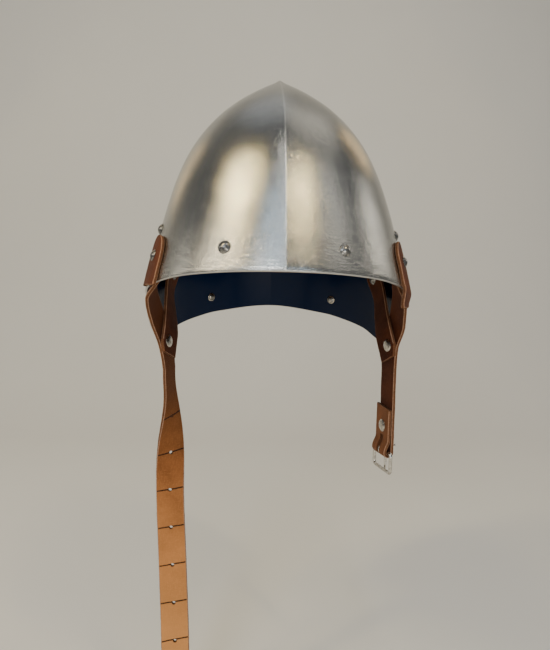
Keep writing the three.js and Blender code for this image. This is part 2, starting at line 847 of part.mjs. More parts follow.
// A round wire bent to a closed flat loop in the plane X = 0.
function wireLoop(outline, radius) {
  const facets = new Facets();
  const rings = outline.map((p, i) => {
    const before = outline[(i + outline.length - 1) % outline.length];
    const after = outline[(i + 1) % outline.length];
    const tangent = after.clone().sub(before).normalize();
    const aside = new THREE.Vector3(1, 0, 0);
    const outward = new THREE.Vector3().crossVectors(tangent, aside);
    return Array.from({ length: wireSides }, (_, k) => {
      const spin = 2 * Math.PI * k / wireSides;
      return p.clone().addScaledVector(aside, radius * Math.cos(spin))
        .addScaledVector(outward, radius * Math.sin(spin));
    });
  });
  rings.forEach((ring, i) => {
    const next = rings[(i + 1) % rings.length];
    ring.forEach((p, k) => {
      const beside = (k + 1) % wireSides;
      facets.quad(p, ring[beside], next[beside], next[k]);
    });
  });
  return facets.geometry();
}

function roundedRectangle(halfWidth, top, bottom, radius) {
  const corners = [[1, top, 0], [-1, top, 1], [-1, bottom, 2], [1, bottom, 3]];
  return corners.flatMap(([side, height, quarter]) => {
    const inset = height === top ? -radius : radius;
    return Array.from({ length: cornerSteps + 1 }, (_, k) => {
      const spin = Math.PI / 2 * (quarter + k / cornerSteps);
      return new THREE.Vector3(0, side * (halfWidth - radius) + radius * Math.cos(spin),
        height + inset + radius * Math.sin(spin));
    });
  });
}

function buckleFrame() {
  const half = frameWidth / 2 - wireRadius;
  return wireLoop(roundedRectangle(half, 0, -frameLength, frameCornerRadius), wireRadius);
}

function bucklePlaced(name, geometry) {
  return placed(name, geometry, nickel, bucklePlace(-loopRadius, buckleBarHeight), buckleTurn());
}

// The prong turns on the bar by its eye and lies on the outer side of the frame's far wire.
// The end of its wire stands out above the eye.
function buckleProng() {
  const eyeRadius = wireRadius + seat + prongRadius;
  const ring = Array.from({ length: wireSides + 1 }, (_, k) => {
    const spin = 2 * Math.PI * k / wireSides;
    return new THREE.Vector2(eyeRadius + prongRadius * Math.cos(spin), prongRadius * Math.sin(spin));
  });
  const eye = new THREE.LatheGeometry(ring, roundSides);
  const shaft = rod(new THREE.Vector3(eyeRadius, 0, 0),
    new THREE.Vector3(eyeRadius, 0, -frameLength - wireRadius), prongRadius, wireSides);
  const tail = rod(new THREE.Vector3(0, 0, eyeRadius),
    new THREE.Vector3(prongTailLength, 0, eyeRadius), prongRadius, wireSides);
  return join([eye, shaft, tail]);
}

function bascinet() {
  const group = new THREE.Group();
  const rivets = skullRivets();
  group.add(placed("skull_shell", skullShell(), steel));
  group.add(placed("liner_band", linerBand(), linerLeather));
  for (let number = 0; number < tongueCount; number += 1) {
    group.add(placed(`liner_tongue_${number + 1}`, linerTongue(number), linerLeather));
  }
  group.add(placed("liner_crown_disc", crownDisc(), linerLeather));
  group.add(...rivets.map(rivetMesh));
  group.add(...rivets.filter((r) => r.washer).map(washerMesh));
  for (const strap of straps) {
    group.add(placed(`outer_tab_${strap.word}`, outerTab(strap), leather));
    group.add(placed(`front_leg_${strap.word}`, frontLeg(strap), leather));
    group.add(placed(`rear_leg_${strap.word}`, rearLeg(strap), leather));
    group.add(junctionRivet(strap));
  }
  group.add(placed("punched_strap", punchedStrap(straps[1]), leather));
  group.add(placed("buckle_strap", buckleStrap(), leather));
  group.add(buckleRivet());
  group.add(bucklePlaced("buckle_frame", buckleFrame()));
  group.add(bucklePlaced("buckle_prong", buckleProng()));

  // The origin is where the wearer's head meets the crown disc.
  group.position.copy(crownSeat()).negate();
  const part = new THREE.Group();
  part.add(group);
  return part;
}

export default bascinet();
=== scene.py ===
import math

import bmesh
import bpy
import numpy as np
from mathutils import Matrix, Vector, noise


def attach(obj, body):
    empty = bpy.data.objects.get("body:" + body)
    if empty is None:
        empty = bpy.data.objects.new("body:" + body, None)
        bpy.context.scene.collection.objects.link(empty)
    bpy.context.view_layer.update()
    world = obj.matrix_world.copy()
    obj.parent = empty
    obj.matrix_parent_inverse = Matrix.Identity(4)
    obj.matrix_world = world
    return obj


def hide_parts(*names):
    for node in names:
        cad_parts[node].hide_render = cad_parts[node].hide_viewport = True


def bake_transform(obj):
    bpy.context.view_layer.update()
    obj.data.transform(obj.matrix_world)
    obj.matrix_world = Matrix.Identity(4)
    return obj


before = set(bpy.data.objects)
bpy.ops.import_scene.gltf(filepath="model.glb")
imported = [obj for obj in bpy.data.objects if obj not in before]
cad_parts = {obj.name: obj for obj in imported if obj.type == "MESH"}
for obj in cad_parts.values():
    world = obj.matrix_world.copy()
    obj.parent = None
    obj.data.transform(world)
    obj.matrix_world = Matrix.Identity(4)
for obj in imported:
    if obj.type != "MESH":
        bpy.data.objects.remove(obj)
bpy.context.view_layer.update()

# Lengths are in millimetres from the middle of the brow edge: +X to the buckle side, -Y to the viewer,
# +Z up. Sides are the wearer's: 1 is left, with the buckle, and -1 is right.
SEAT = np.array([0.0, 20.330801563863957, 116.25573600005896])  # the frame's origin
WORD = {1: "left", -1: "right"}
UP = np.array([0.0, 0.0, 1.0])
GAP = .3
PROBE = .05

HALF_WIDTH, HALF_LENGTH, APEX, SETBACK, RIM_DROP, PLATE = 118.0, 131.0, 174.0, 25.0, 57.0, 1.8
# Shares of RIM_DROP at shares of the way round from brow to nape.
RIM = [(0, 0), (.2, .04), (.38, .18), (.43, .24), (.49, .34), (.55, .67),
       (.63, 1), (.7, .8), (.77, .665), (.83, .58), (1, .46)]

STRAP, STRAP_WIDTH = 3.0, 23.0
LEATHER = 2.6  # straps and tabs as drawn
ROW = 1.1  # length of a row of faces along a strap
HOLLOW = .9  # room behind flat leather in the hollow of the plate
TWIST, LEG_TWIST = math.radians(12), math.radians(19)
HINGE_Z, HINGE_REACH, JUNCTION_Z, JUNCTION_Y = -79.0, 9, -56.0, -3.5
HANG = {1: 98.8, -1: 89.5}
JOIN = {1: 98.8, -1: 92.6}
EXIT = {1: 97.0, -1: 99.5}
REAR_ANGLE, REAR_RIVET_Z = 110, 3
FIRST_HOLE, HOLE_PITCH, HOLES, HOLE_RADIUS, TIP = HINGE_Z + 118.5, 31, 8, 1.5, 34
PUNCHED_LENGTH = FIRST_HOLE + HOLE_PITCH * (HOLES - 1) + TIP
SWING_IN, SWING_FORWARD, UNTWIST = 12, 26, (12, 104)
# Shares of the punched strap's inward swing at shares of its length.
LEAN = [(0, 0), (.13, .22), (.35, .27), (.56, .57), (.79, .88), (1, 1)]

TAB_ANGLE, TAB_RIVET_Z, TAB_WIDTH, TAB_TOP = 63.5, 11.5, 28.0, 27.0
TAB_TURN = math.radians(TAB_ANGLE)
TAB_DROP = {1: 13.0, -1: 1.2}
TAB_CURL = {1: 4.0, -1: 0.0}

LINER, LINER_ROOM, LINER_DRAWN = 2.0, .4, 1.9
BAND_WIDTH, BAND_LOW, BAND_RISE = 26, 13.5, 20.5
TONGUES, TONGUE_TOP, TONGUE_LAP, TONGUE_SAG, TONGUE_SHARE = 8, 146, 5, 20, .74

BAR_Z, FOLD_TOP_Z, BUCKLE_RIVET_Z = -147.0, -109.5, -126.0
WIRE, PRONG, BUCKLE_WIDTH = 1.5, 1.2, 33
LOOP = WIRE + GAP + STRAP / 2
SLOT_WIDTH, SLOT_ABOVE = 5, 13.5


def unit(v):
    return v / np.linalg.norm(v)


def units(rows):
    return rows / np.linalg.norm(rows, axis=-1, keepdims=True)


def smooth(low, high, value):
    t = np.clip((np.asarray(value, float) - low) / (high - low), 0, 1)
    return t * t * (3 - 2 * t)


def table_value(table, place):
    """Smooth curve through a table of (place, value)."""
    xs = np.array([p[0] for p in table], float)
    ys = np.array([p[1] for p in table], float)
    slope = np.zeros(len(xs))
    slope[1:-1] = (ys[2:] - ys[:-2]) / (xs[2:] - xs[:-2])
    place = np.asarray(place, float)
    k = np.clip(np.searchsorted(xs, place, side="left") - 1, 0, len(xs) - 2)
    span = xs[k + 1] - xs[k]
    t = np.clip((place - xs[k]) / span, 0, 1)
    return ((2 * t**3 - 3 * t**2 + 1) * ys[k] + (t**3 - 2 * t**2 + t) * span * slope[k]
            + (3 * t**2 - 2 * t**3) * ys[k + 1] + (t**3 - t**2) * span * slope[k + 1])


# The skull

def from_brow(turn):
    """Share of the way round from brow to nape."""
    return np.abs(np.arctan2(np.sin(turn), np.cos(turn))) / np.pi


def rim_height(turn):
    return -RIM_DROP * table_value(RIM, from_brow(turn))


def skull_face(turn, height):
    turn, height = np.asarray(turn, float), np.asarray(height, float)
    rise = np.clip((height + RIM_DROP) / (APEX + RIM_DROP), 0, 1)
    girth = (1 - rise**6.8)**1.2 * (1 - .43 * rise)
    keel = 1 + .034 * (1 - np.abs(np.sin(turn)))**3
    return np.stack([HALF_WIDTH * girth * np.sin(turn),
                     SETBACK * rise**1.6 - HALF_LENGTH * girth * keel * np.cos(turn),
                     height + 0 * turn], -1)


def skull_normal(turn, height):
    step = PROBE / HALF_WIDTH
    aside = skull_face(turn + step, height) - skull_face(turn - step, height)
    rise = skull_face(turn, height + PROBE) - skull_face(turn, height - PROBE)
    return units(np.cross(aside, rise))


def skull_point(turn, height, offset):
    return skull_face(turn, height) + skull_normal(turn, height) * offset


# Mesh making

def add_object(name, data):
    obj = bpy.data.objects.new(name, data)
    bpy.context.scene.collection.objects.link(obj)
    return obj


def new_object(name, points, faces, materials, index=None, uvs=None, flat=False, corner=None):
    """A mesh object from millimetres. Corner is 1 at the corners of a cut edge and 0 in its middle."""
    mesh = bpy.data.meshes.new(name)
    mesh.from_pydata(((np.asarray(points) - SEAT) / 1000).tolist(), [], faces)
    for m in materials:
        mesh.materials.append(m)
    if index is not None:
        mesh.polygons.foreach_set("material_index", np.asarray(index, np.int32))
    if uvs is not None:
        layer = mesh.uv_layers.new(name="place")
        layer.data.foreach_set("uv", np.asarray(uvs, np.float32).ravel())
    if corner is not None:
        layer = mesh.attributes.new("corner", "FLOAT", "POINT")
        layer.data.foreach_set("value", np.asarray(corner, np.float32))
    mesh.update()
    if not flat:
        mesh.polygons.foreach_set("use_smooth", [True] * len(mesh.polygons))
    return add_object(name, mesh)


def piece(obj, body, *nodes, slot):
    """What a piece rides on and replaces. The slot is not used."""
    if body:
        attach(obj, body)
    if nodes:
        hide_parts(*nodes)


def around(count, closed=True):
    """Each place on a ring or row and the next one."""
    return [(k, (k + 1) % count) for k in range(count if closed else count - 1)]


def grid_faces(rows, columns, wrap=True, closed=False):
    """Faces of a grid whose columns may wrap round, and whose last row may close on the first."""
    return [(i * columns + j, i * columns + k, n * columns + k, n * columns + j)
            for i, n in around(rows, closed) for j, k in around(columns, wrap)]


def lumps(points, size, depth, seed=0.0):
    """Height of soft lumps of the given size at each point."""
    shift = Vector((seed, seed * 1.7, -seed))
    return np.array([depth * noise.noise(Vector(p) / size + shift) for p in points.tolist()])


# Node materials

class Paint:
    """A node material in the making. Values are numbers, colours or sockets."""

    def __init__(self, name):
        self.material = bpy.data.materials.new(name)
        self.material.use_nodes = True
        self.tree = self.material.node_tree
        self.shader = self.tree.nodes["Principled BSDF"]
        self.place = self.tree.nodes.new("ShaderNodeTexCoord").outputs["Object"]

    def node(self, kind, **values):
        n = self.tree.nodes.new("ShaderNode" + kind)
        for key, value in values.items():
            setattr(n, key, value)
        return n

    def put(self, socket, value):
        if isinstance(value, bpy.types.NodeSocket):
            self.tree.links.new(value, socket)
        elif socket.type == "RGBA" and len(value) == 3:
            socket.default_value = (*value, 1)
        else:
            socket.default_value = value

    def fill(self, node, *values):
        for socket, value in zip(node.inputs, values):
            self.put(socket, value)
        return node.outputs[0]

    def wire(self, node, **values):
        for key, value in values.items():
            self.put(node.inputs[key], value)
        return node.outputs

    def uv(self):
        return self.node("UVMap", uv_map="place").outputs[0]

    def stretch(self, scale, source=None, turn=(0, 0, 0)):
        return self.wire(self.node("Mapping"), Vector=source or self.place, Scale=scale, Rotation=turn)[0]

    def noise(self, scale, source=None, detail=4, rough=.55, warp=0.0):
        return self.wire(self.node("TexNoise"), Vector=source or self.place, Scale=scale, Detail=detail,
                         Roughness=rough, Distortion=warp)["Fac"]

    def cells(self, scale, feature="F1"):
        return self.wire(self.node("TexVoronoi", feature=feature), Vector=self.place, Scale=scale)["Distance"]

    def ramp(self, value, *stops):
        n = self.node("ValToRGB")
        for element, (place, grey) in zip(n.color_ramp.elements, stops):
            element.position = place
            element.color = (grey, grey, grey, 1)
        return self.fill(n, value)

    def mix(self, share, a, b):
        n = self.node("Mix", data_type="RGBA")
        for k, value in ((0, share), (6, a), (7, b)):
            self.put(n.inputs[k], value)
        return n.outputs[2]

    def math(self, how, a, b=0.0):
        return self.fill(self.node("Math", operation=how), a, b)

    def plus(self, a, b):
        return self.math("ADD", a, b)

    def minus(self, a, b):
        return self.math("SUBTRACT", a, b)

    def times(self, a, b):
        return self.math("MULTIPLY", a, b)

    def span(self, value, low, high, to_low=0.0, to_high=1.0):
        return self.fill(self.node("MapRange"), value, low, high, to_low, to_high)

    def split(self, vector):
        return self.wire(self.node("SeparateXYZ"), Vector=vector)

    def bump(self, height, depth, strength, **below):
        return self.wire(self.node("Bump"), Height=height, Distance=depth, Strength=strength, **below)[0]

    def finish(self, **sockets):
        names = {"colour": "Base Color", "rough": "Roughness", "metal": "Metallic", "normal": "Normal",
                 "specular": "Specular IOR Level", "sheen": "Sheen Weight", "sheen_rough": "Sheen Roughness"}
        for key, value in sockets.items():
            self.put(self.shader.inputs[names[key]], value)
        return self.material


def tinted(colour, share, more=0.0):
    return tuple(min(1, c * share + more) for c in colour)


def steel():
    """Satin steel: planished and polished round the skull, then rubbed across near the rim, with a painted
    highlight along the front ridge.
    """
    p = Paint("satin_steel")
    uv = p.uv()
    x, y, height = p.split(p.place)
    pebble = p.noise(1250, detail=2, rough=.6)
    clouds = p.noise(13, detail=3, rough=.5)
    blotch = p.noise(60)
    streaks = p.noise(1, p.stretch((420, 18, 1), uv), 5, .6)
    rub_a, rub_b = (p.noise(1, p.stretch((70, 800, 1), uv, (0, 0, turn)), 4, .65) for turn in (.75, -.6))
    low = p.times(p.span(height, -.116, -.078, 1, 0), p.ramp(p.noise(22, detail=3), (.38, .2), (.58, 1)))
    rubbed = p.math("MAXIMUM", p.ramp(rub_a, (.5, 0), (.62, 1)), p.ramp(rub_b, (.52, 0), (.64, 1)))
    rubbed = p.times(rubbed, low)
    # Painted highlight: a thin lighter line on the front of the ridge.
    ridge_highlight = p.times(p.span(p.math("ABSOLUTE", x), .0002, .0009, .4, 0), p.math("LESS_THAN", y, 0))
    grey = p.mix(p.ramp(clouds, (.34, 0), (.68, 1)), (.31, .32, .32), (.42, .41, .375))
    for share, colour in ((p.ramp(blotch, (.4, 0), (.75, .5)), (.37, .372, .37)),
                          (p.times(p.ramp(streaks, (.4, 0), (.7, .6)), .6), (.52, .51, .49)),
                          (p.ramp(pebble, (.48, 0), (.64, .5)), (.66, .64, .58)),
                          (p.times(rubbed, .6), (.80, .77, .71)),
                          (ridge_highlight, (.86, .85, .80))):
        grey = p.mix(share, grey, colour)
    rough = .135
    for patch, more in ((p.ramp(clouds, (.25, 0), (.75, 1)), .05), (p.ramp(blotch, (.3, 0), (.75, 1)), .03),
                        (low, .10)):
        rough = p.plus(rough, p.times(patch, more))
    normal = p.bump(pebble, .00020, .75)
    normal = p.bump(p.plus(rub_a, rub_b), .00007, p.times(low, .9), Normal=normal)
    normal = p.bump(streaks, .00005, .3, Normal=normal)
    return p.finish(colour=grey, rough=rough, metal=1.0, normal=normal)


def edge_steel():
    """Rim filed across."""
    p = Paint("filed_edge_steel")
    strokes = p.noise(1, p.stretch((300, 300, 2500)), 3)
    return p.finish(colour=p.mix(strokes, (.5, .5, .5), (.72, .71, .69)),
                    rough=p.span(strokes, 0, 1, .25, .45), metal=1.0, normal=p.bump(strokes, .0001, .4))


def black_paint():
    """Black enamel brushed inside the skull, with the soft runs of hand painting; its blue tint is a painted
    reflection of bluish light.
    """
    p = Paint("black_enamel")
    flow = p.noise(1, p.stretch((45, 45, 9)), 3)
    dust = p.noise(240, detail=6, rough=.7)
    # The blue in both colours is a painted reflection of bluish light.
    colour = p.mix(p.ramp(dust, (.62, 0), (.85, .35)), (.0012, .0090, .037), (.007, .015, .036))
    return p.finish(colour=colour, rough=p.plus(.14, p.times(dust, .14)), specular=.13,
                    normal=p.bump(flow, .0009, .3))


def nickel(name, base, dark, rough):
    """Nickel plate, dulled in patches and spotted."""
    p = Paint(name)
    wear = p.noise(420, detail=5, rough=.65)
    colour = p.mix(p.ramp(wear, (.4, 0), (.65, 1)), dark, base)
    colour = p.mix(p.ramp(p.cells(900), (.08, .5), (.22, 0)), colour, dark)
    return p.finish(colour=colour, metal=1.0, rough=p.span(wear, .3, .7, rough + .14, rough),
                    normal=p.bump(p.noise(260, detail=2), .0006, .35))


def leather_grain(name, dark, light):
    """Grain side of waxed strap leather."""
    p = Paint(name)
    cells = p.cells(1500, "DISTANCE_TO_EDGE")
    pores = p.noise(2400, detail=2)
    clouds = p.noise(38, detail=6, rough=.62)
    pull = p.noise(1, p.stretch((14, 130, 1), p.uv()))
    colour = p.mix(p.ramp(clouds, (.34, 0), (.68, 1)), dark, light)
    colour = p.mix(p.ramp(pull, (.5, 0), (.75, .4)), colour, tinted(light, 1.35))
    colour = p.mix(p.ramp(cells, (0, .5), (.05, 0)), colour, tinted(dark, .5))
    height = p.plus(p.ramp(cells, (0, 0), (.12, 1)), p.times(pores, .5))
    return p.finish(colour=colour, rough=p.span(clouds, .3, .7, .54, .7), specular=.2,
                    normal=p.bump(height, .00018, .55))


def inked_lines(p, along, across, uv):
    """Share of ink: thin slanted lines across the strap, one at each hole."""
    first, pitch, slant = FIRST_HOLE / 1000, HOLE_PITCH / 1000, -.17
    wobble = p.times(p.minus(p.noise(60, uv, 3), .5), .0016)
    place = p.plus(p.plus(along, p.times(across, slant)), wobble)
    count = p.math("DIVIDE", p.minus(place, first - pitch / 2), pitch)
    away = p.math("ABSOLUTE", p.minus(p.math("FRACT", count), .5))
    inside = p.times(p.math("GREATER_THAN", count, 0), p.math("LESS_THAN", count, HOLES))
    grit = p.ramp(p.noise(1500, detail=3), (.25, .45), (.5, 1))
    return p.times(p.times(p.span(away, .012, .026, 1, 0), inside), grit)


def leather_flesh(name, dark, light, lined=False):
    """Flesh side: matted fibre. The lined one has painted shade at its top, painted light lower down, and is
    inked across.
    """
    p = Paint(name)
    uv = p.uv()
    fibres = [p.noise(1, p.stretch(scale, uv, (0, 0, turn)), 6, .7, .8)
              for scale, turn in (((260, 1500, 1), .35), ((1500, 300, 1), -.3))]
    matted = p.times(p.plus(*fibres), .5)
    clouds = p.noise(30, detail=6, rough=.65)
    colour = p.mix(p.ramp(clouds, (.32, 0), (.7, 1)), dark, light)
    colour = p.mix(p.ramp(matted, (.5, 0), (.68, .6)), colour, tinted(light, 1.5, .02))
    colour = p.mix(p.ramp(matted, (.3, .6), (.44, 0)), colour, tinted(dark, .55))
    if lined:
        along, across, _ = p.split(uv)
        # Painted shade: the leg and the top of the strap darkened.
        painted_shade = p.times(p.span(along, -.03, .14, 1, 0), .85)
        colour = p.mix(painted_shade, colour, (.060, .0155, .0048))
        # Painted light: the strap lighter further down its length.
        colour = p.mix(p.span(along, .08, .22, 0, .6), colour, (.72, .34, .12))
        colour = p.mix(inked_lines(p, along, across, uv), colour, (.016, .008, .007))
    return p.finish(colour=colour, rough=.88, specular=.1, sheen=.04, sheen_rough=.5,
                    normal=p.bump(matted, .0007, .8))


def leather_edge():
    """Cut edge: dark burnished core between pale worn corners."""
    p = Paint("leather_cut_edge")
    fibre = p.noise(900, detail=6, rough=.75)
    layer = p.noise(1, p.stretch((120, 3000, 1), p.uv()))
    corner = p.node("Attribute", attribute_name="corner").outputs["Fac"]
    colour = p.mix(p.ramp(fibre, (.35, 0), (.65, 1)), (.085, .032, .015), (.20, .088, .042))
    colour = p.mix(p.ramp(layer, (.55, 0), (.75, .5)), colour, (.05, .018, .009))
    worn = p.times(p.ramp(corner, (.55, 0), (.8, 1)), p.ramp(fibre, (.3, .35), (.6, 1)))
    colour = p.mix(worn, colour, (.46, .27, .175))
    return p.finish(colour=colour, rough=.9, specular=.15, normal=p.bump(fibre, .0009, .9))


STEEL, EDGE, PAINT = steel(), edge_steel(), black_paint()
RIVET = nickel("rivet_nickel", (.46, .45, .43), (.12, .12, .12), .2)
CAP = nickel("cap_nickel", (.72, .69, .63), (.34, .31, .27), .16)
BUCKLE = nickel("buckle_nickel", (.76, .74, .7), (.4, .38, .35), .1)
WAXED = (.058, .0125, .0036), (.150, .037, .0098)
GRAIN = leather_grain("leather_grain", *WAXED)
FLESH = leather_flesh("leather_flesh", (.046, .0105, .0032), (.105, .027, .0075))
# A lighter copy of the grain leather: painted light on the tab folded round the buckle bar.
LIT_TAB_FOLD = leather_grain("leather_grain_fold_lit", (.12, .041, .014), (.25, .092, .033))
CUT = leather_edge()
LINER_FLESH = leather_flesh("liner_flesh", (.13, .06, .03), (.24, .125, .065))
LINER_GRAIN = leather_grain("liner_grain", *WAXED)
# A lighter copy of the flesh leather: painted light on the hanging punched strap, with painted shade at its
# top.
LINED_LIT = leather_flesh("leather_flesh_lined_lit", (.20, .070, .021), (.42, .160, .052), lined=True)


def make_skull():
    keel = np.array([0, .5, 1.4, 2.8]) / HALF_WIDTH
    half = [*keel, *np.linspace(keel[-1], math.pi - keel[-1], 150)[1:-1], *(math.pi - keel[::-1])]
    turns = np.array(half + [2 * math.pi - t for t in half[-2:0:-1]])
    rows, columns = 96, len(turns)
    climb = 1 - (1 - np.arange(rows) / rows)**1.6
    turn, share = np.meshgrid(turns, climb)
    height = rim_height(turn) * (1 - share) + APEX * share
    outer = skull_face(turn, height).reshape(-1, 3)
    normal = skull_normal(turn, height).reshape(-1, 3)
    fade = np.repeat(1 - climb**8, columns)
    uneven = lumps(outer, 34, .28) + lumps(outer, 13, .09, 4.0)
    outer = outer + normal * (uneven * fade)[:, None]
    inner = outer - normal * PLATE
    middle, half_plate = (outer + inner)[:columns] / 2, (outer - inner)[:columns] / 2
    edge = [middle + half_plate * math.cos(a) - UP * .55 * math.sin(a)
            for a in map(math.radians, (20, 65, 115, 160))]
    apex = np.array([[0, SETBACK, APEX]])
    points = np.vstack([outer, inner, *edge, apex, apex - UP * PLATE])

    outside, inside, rim = range(3)
    n = rows * columns
    faces = grid_faces(rows, columns)
    index = [outside] * len(faces) + [inside] * len(faces)
    faces = faces + [tuple(v + n for v in reversed(f)) for f in faces]
    rings = [0, *(2 * n + columns * i for i in range(len(edge))), n]
    for a, b in zip(rings, rings[1:]):
        faces += [(a + k, a + j, b + j, b + k) for j, k in around(columns)]
        index += [rim] * columns
    top, last = len(points) - 2, n - columns
    for j, k in around(columns):
        faces += [(last + j, last + k, top), (n + last + k, n + last + j, top + 1)]
        index += [outside, inside]

    place = np.zeros((len(points), 2))
    girth = np.where(turns > math.pi, turns - 2 * math.pi, turns) * HALF_WIDTH / 1000
    place[:top, 0] = np.tile(girth, top // columns)
    place[:top, 1] = points[:top, 2] / 1000
    place[top:, 1] = APEX / 1000
    uvs = []
    for f in faces:
        us = place[list(f)]
        if np.ptp(us[:, 0]) > .3:
            us[us[:, 0] < 0, 0] += 2 * math.pi * HALF_WIDTH / 1000
        uvs.extend(us.tolist())
    skull = new_object("skull", points, faces, [STEEL, PAINT, EDGE], index, uvs)
    piece(skull, "helmet", "skull_shell", slot="skull_steel")


def turned(profile, sides, at, axis, wobble=0.0, seed=0.0):
    """Points and faces of a profile of (radius, height) turned about an axis through a place."""
    axis = unit(np.asarray(axis, float))
    side = unit(np.cross(axis, UP if abs(axis[2]) < .9 else np.array([1.0, 0, 0])))
    other = np.cross(axis, side)
    points, rings = [], []
    for radius, height in profile:
        if radius <= 0:
            rings.append([len(points)] * sides)
            points.append(at + axis * height)
            continue
        rings.append(range(len(points), len(points) + sides))
        for k in range(sides):
            a = 2 * math.pi * k / sides
            direction = side * math.cos(a) + other * math.sin(a)
            bent = 1 + wobble * noise.noise(Vector((math.cos(a), math.sin(a), seed + height)))
            points.append(at + axis * height + direction * radius * bent)
    faces = [tuple(dict.fromkeys((a[k], a[m], b[m], b[k])))
             for a, b in zip(rings, rings[1:]) for k, m in around(sides)]
    return np.array(points), faces


def dome(radius, rise, flat):
    """Profile of a rounded head from its rim up to the middle."""
    lip, steps = .25, 9
    out = [(radius * .93, 0), (radius, lip)]
    for i in range(1, steps):
        share = math.cos(math.pi / 2 * i / steps)
        out.append((radius * share, lip + (rise - lip) * (1 - (share**2 * (1 - flat) + flat * share**6))))
    return out + [(0, rise)]


def rivet_profile(head, head_rise, grip, tail, tail_rise, flat=0.0):
    shank = 2.0
    lower = [(r, -grip - h) for r, h in dome(tail, tail_rise, .5)]
    return lower[::-1] + [(shank, -grip), (shank, 0)] + dome(head, head_rise, flat)


def make_rivet(name, body, node, at, axis, profile, material, seed):
    points, faces = turned(profile, 40, at, axis, .035, seed)
    piece(new_object(name, points, faces, [material]), body, node, slot="rivet_nickel")


HEAD, FLAT_HEAD, TAIL = (4.5, 2.6), (5.4, 1.5), (3.4, 1.3)  # radius and rise
CLEAR = .05  # between a rivet's head and the face under it
UNDER_LINER, UNDER_STRAP = LINER + GAP + LINER_ROOM, STRAP + GAP + HOLLOW
# Name, angle from the brow, height, leather outside the plate and inside it, and whether it has a washer.
SKULL_RIVETS = [
    ("front_rivet", 22.7, 14.9, 0, UNDER_LINER, True),
    ("side_rivet", 71, 34, 0, UNDER_LINER, True),
    ("rear_liner_rivet", 146, 34, 0, UNDER_LINER, True),
    ("back_rivet", 144, -18.5, 0, 0, True),
    ("tab_rivet", TAB_ANGLE, TAB_RIVET_Z, LEATHER + GAP, UNDER_STRAP, False),
    ("rear_leg_rivet", REAR_ANGLE, REAR_RIVET_Z, 0, UNDER_STRAP, False),
]
WASHER = .9
WASHER_RING = [(2.1, 0), (3.9, 0), (4.2, .2), (4.2, .7), (3.9, WASHER), (2.1, WASHER), (2.1, 0)]


def make_skull_rivets():
    for number, (name, angle, height, outside, inside, washer) in enumerate(SKULL_RIVETS):
        for side in (1, -1):
            turn = side * math.radians(angle)
            normal = skull_normal(turn, height)
            grip = outside + PLATE + GAP + inside + (WASHER + GAP if washer else 0)
            node = f"{name}_{WORD[side]}"
            make_rivet(node + "_turned", "helmet", node, skull_point(turn, height, outside + CLEAR), normal,
                       rivet_profile(*HEAD, grip, *(TAIL if washer else FLAT_HEAD)), RIVET, number + side * .3)
            if washer:
                node = node.replace("rivet", "washer")
                back = skull_point(turn, height, -(PLATE + GAP + inside + WASHER))
                points, faces = turned(WASHER_RING, 36, back, normal)
                piece(new_object(node + "_turned", points, faces, [CAP]), "helmet", node, slot="washer_nickel")


make_skull()
make_skull_rivets()


# Leather

def catmull(points, count=900):
    """Centripetal Catmull-Rom curve: places at even steps of length, and the length."""
    pts = [2 * points[0] - points[1], *points, 2 * points[-1] - points[-2]]
    out = []
    for i in range(1, len(pts) - 2):
        p0, p1, p2, p3 = pts[i - 1:i + 3]
        d0, d1, d2 = (np.linalg.norm(b - a)**.5 for a, b in ((p0, p1), (p1, p2), (p2, p3)))
        t1 = ((p1 - p0) / d0 - (p2 - p0) / (d0 + d1) + (p2 - p1) / d1) * d1
        t2 = ((p2 - p1) / d1 - (p3 - p1) / (d1 + d2) + (p3 - p2) / d2) * d1
        t = np.linspace(0, 1, 200, endpoint=i == len(pts) - 3)[:, None]
        out.append(p1 + t1 * t + (3 * p2 - 3 * p1 - 2 * t1 - t2) * t**2
                   + (2 * p1 - 2 * p2 + t1 + t2) * t**3)
    out = np.vstack(out)
    steps = np.concatenate([[0], np.cumsum(np.linalg.norm(np.diff(out, axis=0), axis=1))])
    even = np.linspace(0, steps[-1], count)
    return np.stack([np.interp(even, steps, out[:, k]) for k in range(3)], 1), steps[-1]


def across_after(side, turned_by):
    """Direction to the front edge of a strap that is turned about the vertical."""
    return np.array([side * math.sin(turned_by), -math.cos(turned_by), 0])


def out_after(side, turned_by):
    """Direction away from the grain side of such a strap."""
    return np.array([side * math.cos(turned_by), math.sin(turned_by), 0])


def hinge_point(side):
    return np.array([side * HANG[side], JUNCTION_Y, HINGE_Z])


def strap_rise(side):
    """Direction up the strap from its hinge line to the junction of its legs."""
    return unit(np.array([side * (JOIN[side] - HANG[side]), 0, JUNCTION_Z - HINGE_Z]))


def junction_out(side):
    out, rise = out_after(side, LEG_TWIST), strap_rise(side)
    return unit(out - rise * np.dot(out, rise))


def lean_of(side, rise, degrees):
    """Direction that leans forward from a rise, in the plane of the junction."""
    a = math.radians(degrees)
    return rise * math.cos(a) + across_after(side, LEG_TWIST) * math.sin(a)


def junction_point(side, layer):
    """Middle of the front leg, layer 0, or of the rear leg, layer 1, at their rivet."""
    at = np.array([side * JOIN[side], JUNCTION_Y, JUNCTION_Z])
    return at - junction_out(side) * layer * (STRAP + GAP)


def leg_end(side):
    """Where the front leg ends above the hinge line, clear of the strap below it."""
    rise = strap_rise(side)
    slant = abs(np.dot(rise, across_after(side, TWIST)))
    corner = slant * STRAP_WIDTH / 2 + math.hypot(rise[0], rise[1]) * STRAP / 2
    return hinge_point(side) + rise * (STRAP / 2 + GAP + corner)


def on_wall(side, degrees, height):
    return skull_point(side * math.radians(degrees), height, -(PLATE + GAP + HOLLOW + STRAP / 2))


def round_end(distance, half):
    inside = min(max(1 - distance / half, 0), 1)
    return half * math.sqrt(1 - inside**2)


